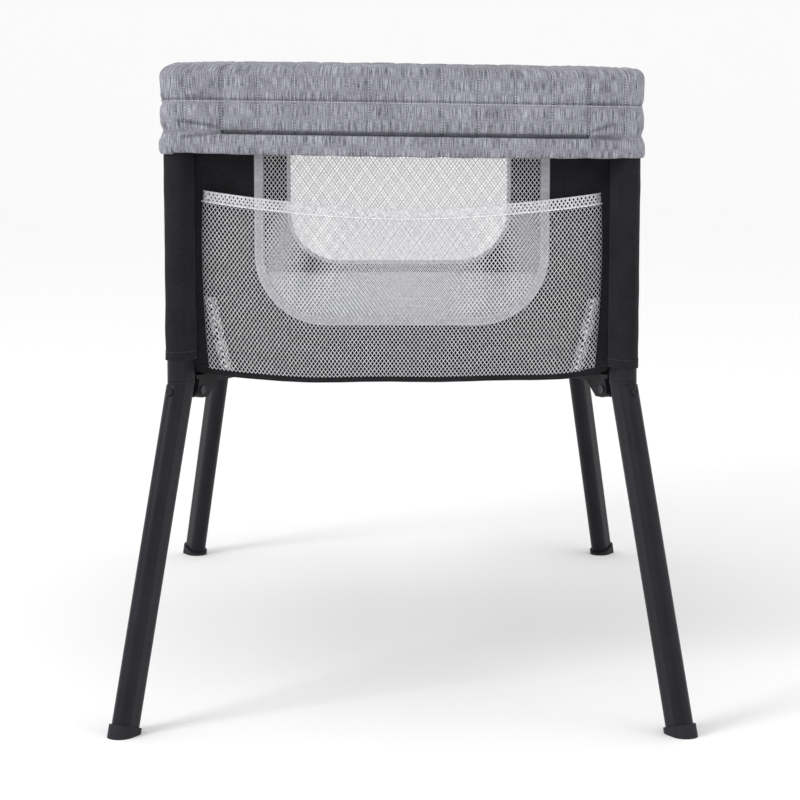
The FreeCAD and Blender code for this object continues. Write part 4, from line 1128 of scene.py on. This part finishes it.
@dataclass
class RailCover:
    """The quilted cover: a padded channel over the rails, sewn in a grid of channels."""

    finishes: Finishes
    tools: NodeTools
    pitch: float = 39.35 * MM
    pitch_offset: float = 3.1 * MM
    row_steps: tuple[float, ...] = (0.0, 33.0 * MM, 88 * MM, 128 * MM, 160 * MM)
    row_lift: float = 1.4 * MM
    radius: float = 15.0 * MM
    hole_gap: float = 3.3 * MM
    puff: float = 1.9 * MM
    fill: float = 0.45
    crease_height: float = 641.0 * MM
    crease_depths: tuple[float, float] = (5.5 * MM, 0.3 * MM)
    end_crease: tuple[float, float] = (-195 * MM, 201 * MM)
    end_seams: tuple[float, float] = (-193.6 * MM, 199.9 * MM)
    side_lines: int = 9
    outside_run: float = 100 * MM
    close_step: float = 1.1 * MM
    wide_step: float = 3.5 * MM
    inner_step: float = 3.0 * MM
    lean: float = 0.0155
    lean_low: float = 0.010
    roll_sag: float = 3.4 * MM
    soft_in: float = 9.0 * MM
    soft_down: float = 2.0 * MM

    def __post_init__(self) -> None:
        """Read the cover's outside and its hole from the frame."""
        low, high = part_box("rail_cover")
        self.half_x, self.half_y = high.x, high.y
        self.foot, self.head = low.z, high.z
        self.hole_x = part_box("right_window_mesh")[0].x - self.hole_gap
        self.hole_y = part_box("back_window_mesh")[0].y - self.hole_gap

    def section(self) -> tuple[np.ndarray, np.ndarray, np.ndarray]:
        """The channel's section, from the outer hem over the top to the inner hem.

        Returns:
            How far each point is inward (0 outer, 1 inner), its height, and its run length.
        """
        raw = COVER_OUTER + [(0.4 + 12 * (1 - x), COVER_EDGE + 12 * z)
                             for x, z in arc(0, 90, 9)[1:]]
        raw += [(25.5 + 10.0 * z, COVER_EDGE + 12 * x) for x, z in arc(0, 90, 6)]
        points = np.array(raw + COVER_INNER) * MM
        run = run_length(points)
        # On the outside, points lie closer about the crease, its wrinkles and each row.
        crease = float(run[np.argmin(np.abs(points[:20, 1] - self.crease_height))])
        dense = [crease + step for step in self.row_steps]
        marks = [0.0]
        while marks[-1] < run[-1] - 1.0 * MM:
            place = marks[-1]
            near_row = min(abs(place - row) for row in dense) < 7 * MM
            close = near_row or -12 * MM < place - crease < 15 * MM
            outside = self.close_step if close else self.wide_step
            marks.append(place + (outside if place < self.outside_run else self.inner_step))
        fine = np.clip(np.array(marks), 0, run[-1])
        inward = np.interp(fine, run, points[:, 0]) / (COVER_REACH * MM)
        return inward, np.interp(fine, run, points[:, 1]), fine

    def loop(self) -> tuple[np.ndarray, np.ndarray, np.ndarray, list[tuple[str, float]]]:
        """Matching points round the outer and the inner outline.

        Returns:
            Outer (n, 2), inner (n, 2), run length (n + 1), and each point's side and place.
        """
        whole = [np.array([self.half_x, self.half_y]), np.array([self.hole_x, self.hole_y])]
        lines: list[list[Any]] = [[], []]
        marks: list[tuple[str, float]] = []
        plan = (("front", (-1, -1), (1, -1)), ("right", (1, -1), (1, 1)),
                ("back", (1, 1), (-1, 1)), ("left", (-1, 1), (-1, -1)))
        for index, (name, start, stop) in enumerate(plan):
            axis = 0 if name in ENDS else 1
            sign = 1 if name in ("front", "right") else -1
            for share in self.shares(name, whole[0][axis] - self.radius, sign):
                for line, half in zip(lines, whole):
                    spot = np.array(start) * half
                    spot[axis] = sign * share * (half[axis] - self.radius)
                    line.append(spot)
                marks.append((name, float(lines[0][-1][axis])))
            turn = arc(-90 + 90 * index, 90, 10)[:-1]
            for k, way in enumerate(turn):
                for line, half in zip(lines, whole):
                    line.append(np.array(stop) * (half - self.radius)
                                + np.array(way) * self.radius)
                marks.append(("corner", k / len(turn)))
        outer, inner = np.array(lines[0]), np.array(lines[1])
        return outer, inner, run_length(closed_line(outer)), marks

    def shares(self, side: str, reach: float, sign: int) -> list[float]:
        """Places along a side as shares of its half, close together beside each quilt line."""
        places = {round(c + step * MM, 5) for c in self.columns(side) for step in BESIDE_LINE}
        kept = sorted(sign * p / reach for p in places if abs(p) < reach - 1.5 * MM)
        return [-1.0] + kept

    def columns(self, side: str) -> list[float]:
        """Where the upright quilt lines cross a side."""
        if side in ENDS:
            shift = self.pitch_offset if side == "front" else -self.pitch_offset
            lines = [shift + self.pitch * k for k in range(-6, 7)]
            return [line for line in lines if abs(line) < 243 * MM]
        return [self.pitch * k for k in range(-10, 11)]

    def wrinkles(self, side: str, spot: float, height: np.ndarray) -> np.ndarray:
        """Depth of the pulled folds that fan out from the crease's ends to the corners."""
        level = side in ENDS
        reach = self.pitch * self.side_lines
        seams = self.end_seams if level else (-reach, reach)
        stretch = 1.0 if level else self.half_y / self.half_x
        flat_end = (self.half_x if level else self.half_y) - self.radius
        total = np.zeros_like(height)
        for seam, low, stop, high, depth in WRINKLES:
            share = min(max((spot - seams[seam]) / (stop * MM * stretch - seams[seam]), 0), 1.15)
            if 0 < share < 1.15:
                line = (low + (high - low) * share ** 0.8) * MM
                end = (np.clip((1.12 - share) * 6, 0, 1)
                       * np.clip((flat_end - abs(spot)) / (14 * MM), 0, 1))
                total += (depth * MM * groove(height - line, 2.2 * MM)
                          * min(share * 25, 1) * end)
        return total

    def quilt(self, inward: np.ndarray, height: np.ndarray, rise: np.ndarray,
              marks: list[tuple[str, float]]) -> tuple[np.ndarray, np.ndarray]:
        """The sewn relief of the whole cover, and the painted shade along its seams, creases and
        wrinkles.

        Args:
            inward: how far each point of the section is inward.
            height: its height.
            rise: its run length.
            marks: the side and place of each line of points round the rim.

        Returns:
            The relief's height and the share of painted shade, each (lines, points).
        """
        rows = np.array(self.rows)[:, None]
        to_row = np.min(np.abs(rise - rows), axis=0)
        to_crease = np.abs(rise - self.rows[0])
        above_row = np.min(np.abs(rise - rows[1:] - self.row_lift), axis=0)
        outer_wall = (inward < 0.15) & (rise < rise[-1] / 2)
        upper = rise > self.rows[0]
        relief, painted_shade = np.zeros((2, len(marks), len(rise)))
        for i, (side, spot) in enumerate(marks):
            corner, level = side == "corner", side in ENDS
            if corner:
                to_column = 0.5 * self.pitch * (0.35 + 0.4 * math.sin(spot * math.pi))
            else:
                to_column = min(abs(spot - column) for column in self.columns(side))
            seam = level and min(abs(spot - end) for end in self.end_seams) < 3 * MM
            between = (self.end_crease[0] < spot < self.end_crease[1] if level
                       else not corner and abs(spot) < self.pitch * self.side_lines)
            # The upper edge is pulled straight over the rail, so the cells barely show there.
            cells = np.where(height > 698 * MM, 0.3, 0.85) * groove(to_column, 8.0 * MM)
            swell = (1 - groove(to_row, 7.0 * MM)) * (1 - cells)
            relief[i] = self.puff * swell * (0.5 if corner else 1.0)
            relief[i] -= self.crease_depths[0 if between else 1] * groove(to_crease, 1.4 * MM)
            relief[i] -= 0.7 * MM * groove(above_row, 1.5 * MM)
            relief[i] -= (1.9 if seam else 0.8) * MM * groove(to_column, 1.9 * MM) * upper
            # Painted shade: the cloth is darkened along the crease, each row and each column.
            painted_shade[i] = (0.9 if between else 0.1) * groove(to_crease, 1.2 * MM)
            painted_shade[i] += 0.5 * groove(above_row, 1.6 * MM)
            painted_shade[i] += (0.6 if seam else 0.3) * groove(to_column, 1.7 * MM) * upper
            if not corner:
                folds = self.wrinkles(side, spot, height) * outer_wall
                relief[i] -= folds
                # More painted shade in the wrinkles, by their depth.
                painted_shade[i] += np.clip(folds, 0, None) / (4.5 * MM)
        uneven = (smooth_noise(len(marks), 7, 5)[:, None]
                  * smooth_noise(len(rise), 8, 4)[None, :])
        uneven += (0.6 * smooth_noise(len(marks), 17, 10)[:, None]
                   * smooth_noise(len(rise), 18, 8)[None, :])
        relief += 0.28 * MM * np.clip(uneven, -2.5, 2.5)
        # The relief fades out at both hems.
        relief *= np.clip(np.minimum(rise, rise[-1] - rise) / (9 * MM), 0, 1)
        return relief, painted_shade

    def settle(self, points: np.ndarray, run: np.ndarray) -> None:
        """Lean the cover, let its lower roll sag and soften its left upper edge, in place."""
        share = np.clip((points[..., 2] - self.foot) / (self.head - self.foot), 0, 1)
        tilt = self.lean_low + (self.lean - self.lean_low) * share
        sway = 1.3 * MM * np.sin(run[:-1] / (160 * MM) + 0.6)[:, None] * (1 - share)
        points[..., 2] += -points[..., 0] * tilt + sway - 2.2 * MM * share
        # The roll hangs a little lower mid-way along each end.
        middle = (np.clip(1 - (points[..., 0] / self.half_x) ** 2, 0, 1)
                  * (np.abs(points[..., 1]) > self.hole_y))
        points[..., 2] -= self.roll_sag * middle * np.clip(1 - 2.2 * share, 0, 1)
        soft = (np.clip(-points[..., 0] / self.half_x, 0, 1) ** 3
                * np.clip((share - 0.8) / 0.2, 0, 1) ** 2)
        points[..., 0] += self.soft_in * soft
        points[..., 2] -= self.soft_down * soft

    def build(self) -> None:
        """Build the cover, then sew it."""
        inward, height, rise = self.section()
        outer, inner, run, marks = self.loop()
        base = np.zeros((len(outer), len(inward), 3))
        base[..., :2] = outer[:, None] + (inner - outer)[:, None] * inward[None, :, None]
        base[..., 2] = height
        ahead = np.roll(base, -1, axis=0) - np.roll(base, 1, axis=0)
        normal = np.cross(ahead, np.gradient(base, axis=1))
        normal /= np.linalg.norm(normal, axis=-1, keepdims=True) + 1e-12
        crease = float(rise[np.argmin(np.abs(height[:40] - self.crease_height))])
        self.rows = [crease + step for step in self.row_steps
                     if crease + step < rise[-1] - 12 * MM]
        relief, painted_shade = self.quilt(inward, height, rise, marks)
        inset = np.where(rise > crease, 2.0, 1.7) * MM
        points = base + normal * (relief - inset)[..., None]
        self.settle(points, run)
        cover = grid_object("quilted_rail_cover", points, cloth_map(run, rise),
                            self.finishes.quilt, wrap_u=True)
        # The painted shade is kept on the cover as a point attribute.
        attribute = cover.data.attributes.new(SEAM_SHADE_ATTRIBUTE, "FLOAT", "POINT")
        attribute.data.foreach_set("value", np.clip(painted_shade, 0, 1).astype(np.float32).ravel())
        attach(cover, "grey_quilt", "rail_cover")
        self.sew_rows(points + normal * 0.15 * MM, rise, marks)
        LOG.info("quilted cover: %d points", relief.size)

    def sew_rows(self, lifted: np.ndarray, rise: np.ndarray,
                 marks: list[tuple[str, float]]) -> None:
        """Sew the quilt's rows and columns.

        Args:
            lifted: the cover's points, just off its cloth.
            rise: run length along the section.
            marks: the side and place of each line of points round the rim.
        """
        found = [int(np.argmin(np.abs(rise - row))) for row in self.rows]
        lines = [closed_line(lifted[:, j]) for j in found[1:]]
        lines += [lifted[i, found[0] + 2:-4] for i, (side, spot) in enumerate(marks)
                  if side != "corner"
                  and any(abs(spot - column) < 0.02 * MM for column in self.columns(side))]
        self.tools.sew("quilt_stitches", lines, self.finishes.white_thread, QUILT_STITCH,
                       "grey_quilt")


# ---------------------------------------------------------------------------------------
# Mattress
# ---------------------------------------------------------------------------------------
@dataclass
class Mattress:
    """The mattress pad, swollen by a cloth simulation, with piping round its edges."""

    finishes: Finishes
    tools: NodeTools
    voxel: float = 6.0 * MM
    frames: int = 20
    cap: float = 7.0 * MM
    side_cap: float = 1.2 * MM
    rise: float = 3.0 * MM
    shrink: float = 2.2 * MM
    corner: float = 30.0 * MM
    pressure: float = 3.0
    stiffness: float = 20.0
    fill: float = 0.7
    channel_pitch: float = 68.0 * MM
    channel_depth: float = 1.6 * MM
    piping_radius: float = 1.9 * MM
    piping_inset: float = 2.5 * MM

    def __post_init__(self) -> None:
        """Read the pad's box from the frame."""
        self.low, self.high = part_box("mattress_pad")

    def outline(self, inset: float, count: int) -> np.ndarray:
        """The pad's rounded outline, inset from its box."""
        x, y, r = self.high.x - inset, self.high.y - inset, self.corner - inset
        line = np.array([(sx * (x - r) + r * way[0], sy * (y - r) + r * way[1])
                         for sx, sy, start in ((1, -1, -90), (1, 1, 0), (-1, 1, 90), (-1, -1, 180))
                         for way in arc(start, 90, 8)])
        closed = closed_line(line)
        run = run_length(closed)
        fine = np.linspace(0, run[-1], count + 1)[:-1]
        return np.stack([np.interp(fine, run, closed[:, 0]), np.interp(fine, run, closed[:, 1])], 1)

    def block(self) -> Object:
        """The pad before it swells: a rounded slab."""
        foot, head, shrink = self.low.z, self.high.z, self.shrink
        work = bmesh.new()
        rings = [[work.verts.new((x, y, z)) for x, y in self.outline(inset, 160)]
                 for inset, z in ((shrink + 4 * MM, foot + 0.5 * MM), (shrink, foot + 5 * MM),
                                  (shrink, head - 9 * MM), (shrink + 6 * MM, head - 3 * MM))]
        for lower, upper in zip(rings, rings[1:]):
            for k in range(len(lower)):
                after = (k + 1) % len(lower)
                work.faces.new((lower[k], lower[after], upper[after], upper[k]))
        work.faces.new(list(reversed(rings[0])))
        work.faces.new(rings[-1])
        mesh = bpy.data.meshes.new("mattress_cover")
        work.to_mesh(mesh)
        work.free()
        return make_object("mattress_cover", mesh, self.finishes.mattress)

    def bake(self, pad: Object) -> bpy.types.Mesh:
        """Keep the pad's mesh as its modifiers leave it."""
        pad.data = evaluated_mesh(pad)
        pad.modifiers.clear()
        return pad.data

    def inflate(self, pad: Object) -> bpy.types.Mesh:
        """Swell the pad as cloth under pressure."""
        cloth = pad.modifiers.new("cloth", "CLOTH").settings
        cloth.use_pressure = True
        cloth.uniform_pressure_force = self.pressure
        cloth.effector_weights.gravity = 0.0
        cloth.quality = 4
        cloth.tension_stiffness = self.stiffness
        cloth.compression_stiffness = self.stiffness
        for number in range(1, self.frames + 1):
            bpy.context.scene.frame_set(number)
        mesh = self.bake(pad)
        bpy.context.scene.frame_set(1)
        return mesh

    def swell(self, pad: Object) -> None:
        """Inflate the pad, limit how far each point moves, and press its channels in."""
        remesh = pad.modifiers.new("voxels", "REMESH")
        remesh.mode = "VOXEL"
        remesh.voxel_size = self.voxel
        mesh = self.bake(pad)
        start = read_points(mesh)
        mesh = self.inflate(pad)
        shift = read_points(mesh) - start
        # The piping holds the sides, so the cloth mostly swells upward.
        flat = np.linalg.norm(shift[:, :2], axis=1, keepdims=True)
        shift[:, :2] *= np.minimum(1, self.side_cap / np.maximum(flat, 1e-9))
        shift[:, 2] = np.clip(shift[:, 2], -self.cap, self.cap)
        low = np.array(self.low) + (0, 0, 0.3 * MM)
        made = np.clip(start + shift, low, np.array(self.high) + (0, 0, self.rise))
        # Sewn channels press lines across the top.
        top = made[:, 2] > self.high.z - 14 * MM
        for line in np.arange(-5, 6) * self.channel_pitch:
            made[top, 2] -= self.channel_depth * groove(made[top, 1] - line, 5 * MM)
        write_points(mesh, made)
        loops = np.zeros(len(mesh.loops), np.int32)
        mesh.loops.foreach_get("vertex_index", loops)
        layer = mesh.uv_layers.new(name=CLOTH_UV)
        layer.data.foreach_set("uv", made[loops][:, :2].astype(np.float32).ravel())
        mesh.materials.clear()
        mesh.materials.append(self.finishes.mattress)

    def piping(self, name: str, height: float) -> None:
        """A corded edge round the pad."""
        line = self.outline(self.piping_inset, 260)
        ahead = np.roll(line, -1, axis=0) - np.roll(line, 1, axis=0)
        ways = np.stack([ahead[:, 1], -ahead[:, 0]], 1)
        ways /= np.linalg.norm(ways, axis=1, keepdims=True)
        turn = arc(0, 360, 8)[:-1]
        points = np.zeros((len(line), len(turn), 3))
        for k, (beside, up) in enumerate(turn):
            points[:, k, :2] = line + ways * self.piping_radius * beside
            points[:, k, 2] = height + self.piping_radius * up
        cloth = cloth_map(run_length(closed_line(line)), np.linspace(0, 12 * MM, len(turn) + 1))
        attach(grid_object(name, points, cloth, self.finishes.tape, wrap_u=True, wrap_v=True),
               "mattress_cloth", body="mattress")

    def build(self) -> None:
        """Build the pad and its piping."""
        pad = self.block()
        self.swell(pad)
        attach(pad, "mattress_cloth", "mattress_pad", body="mattress")
        self.piping("mattress_top_piping", self.high.z - 6 * MM)
        self.piping("mattress_low_piping", self.low.z + 5 * MM)
        LOG.info("mattress: %d points", len(pad.data.vertices))


# ---------------------------------------------------------------------------------------
# Frame finishes, light and camera
# ---------------------------------------------------------------------------------------
@dataclass
class Stand:
    """The carried-over tubes and mouldings, which only need their finishes."""

    finishes: Finishes

    def dress(self) -> None:
        """Give each node the finish its name calls for."""
        chosen = [
            (("post_tube", "leg_tube", "base_arm", "side_rail", "end_rail"), self.finishes.coat),
            (("knuckle", "leg_head", "corner_moulding", "hub", "release_button"),
             self.finishes.plastic),
            (("foot_cap",), self.finishes.foot),
            (("hinge_pins", "base_rivets"), self.finishes.steel),
            (("mattress_board",), self.finishes.board),
        ]
        for name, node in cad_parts.items():
            for starts, material in chosen:
                if name.startswith(starts):
                    for slot in node.material_slots:
                        slot.material = material
        LOG.info("stand dressed")


@dataclass
class Studio:
    """Plain pale floor, soft light and the camera."""

    lens_mm: float = 112.5
    camera_place: tuple[float, float, float] = (-0.016, -3.108, 0.72)
    pitch_deg: float = 7.79
    yaw_deg: float = 0.29
    world_strength: float = 0.98
    aim: tuple[float, float, float] = (0.0, 0.0, 0.45)
    floor_reach: float = 30.0
    curve_start: float = 8.0
    curve_radius: float = 4.0
    backdrop_top: float = 14.0
    lamps: tuple[tuple[str, tuple[float, float, float], float, float], ...] = (
        ("key", (-2.7, -2.3, 2.6), 1.3, 62.0), ("fill", (2.4, -1.8, 1.5), 2.0, 9.0))

    def build(self) -> None:
        """Build the studio."""
        scene = bpy.context.scene
        world = bpy.data.worlds.new("soft white surround")
        world.use_nodes = True
        Graph(world.node_tree).feed(world.node_tree.nodes["Background"], {
            "Color": linear("#ffffff"), "Strength": self.world_strength})
        scene.world = world
        self.build_floor()
        for lamp in self.lamps:
            self.lamp(*lamp)
        camera = bpy.data.cameras.new("camera")
        camera.lens, camera.sensor_width = self.lens_mm, 36.0
        eye = bpy.data.objects.new("camera", camera)
        eye.location = self.camera_place
        eye.rotation_euler = (math.radians(90 - self.pitch_deg), 0.0, math.radians(-self.yaw_deg))
        scene.collection.objects.link(eye)
        scene.camera = eye
        scene.view_settings.view_transform = "Standard"

    def build_floor(self) -> None:
        """The floor, which curves up into a backdrop far behind the object."""
        paper = Surface("matt white paper floor").finish({
            "Base Color": linear("#fbfbfb"), "Roughness": 0.95})
        far, radius = self.floor_reach, self.curve_radius
        profile = [(-far, 0.0)] + [(self.curve_start + radius * z, radius - radius * y)
                                   for y, z in arc(0, 90, 18)]
        profile.append((self.curve_start + radius, self.backdrop_top))
        points = np.array([[(x, y, z) for y, z in profile] for x in (-far, far)])
        grid_object("studio_floor", points, np.zeros((2, len(profile), 2)), paper)

    def lamp(self, name: str, place: tuple[float, float, float], size: float,
             power: float) -> None:
        """A square soft light aimed at the tub."""
        light = bpy.data.lights.new(name, "AREA")
        light.size, light.energy = size, power
        made = bpy.data.objects.new(name, light)
        made.location = place
        aim = Vector(self.aim) - Vector(place)
        made.rotation_euler = aim.to_track_quat("-Z", "Y").to_euler()
        bpy.context.scene.collection.objects.link(made)


def main() -> None:
    """Build every sub-assembly in order."""
    logging.basicConfig(level=logging.INFO, format="%(message)s")
    finishes = Finishes()
    tools = NodeTools()
    Stand(finishes).dress()
    walls = {side: TubWall(side, finishes, tools) for side in Side}
    for wall in walls.values():
        wall.build()
    TubFloor(finishes, walls).build()
    for corner in CORNERS:
        # The left sleeves end a little higher than the right ones.
        shift = 5 * MM if corner.endswith("left") else -4 * MM
        CornerSleeve(corner, finishes, tools, shift).build()
    StoragePocket(walls[Side.FRONT], finishes, tools).build()
    RailCover(finishes, tools).build()
    Mattress(finishes, tools).build()
    Studio().build()


if __name__ == "__main__":
    main()
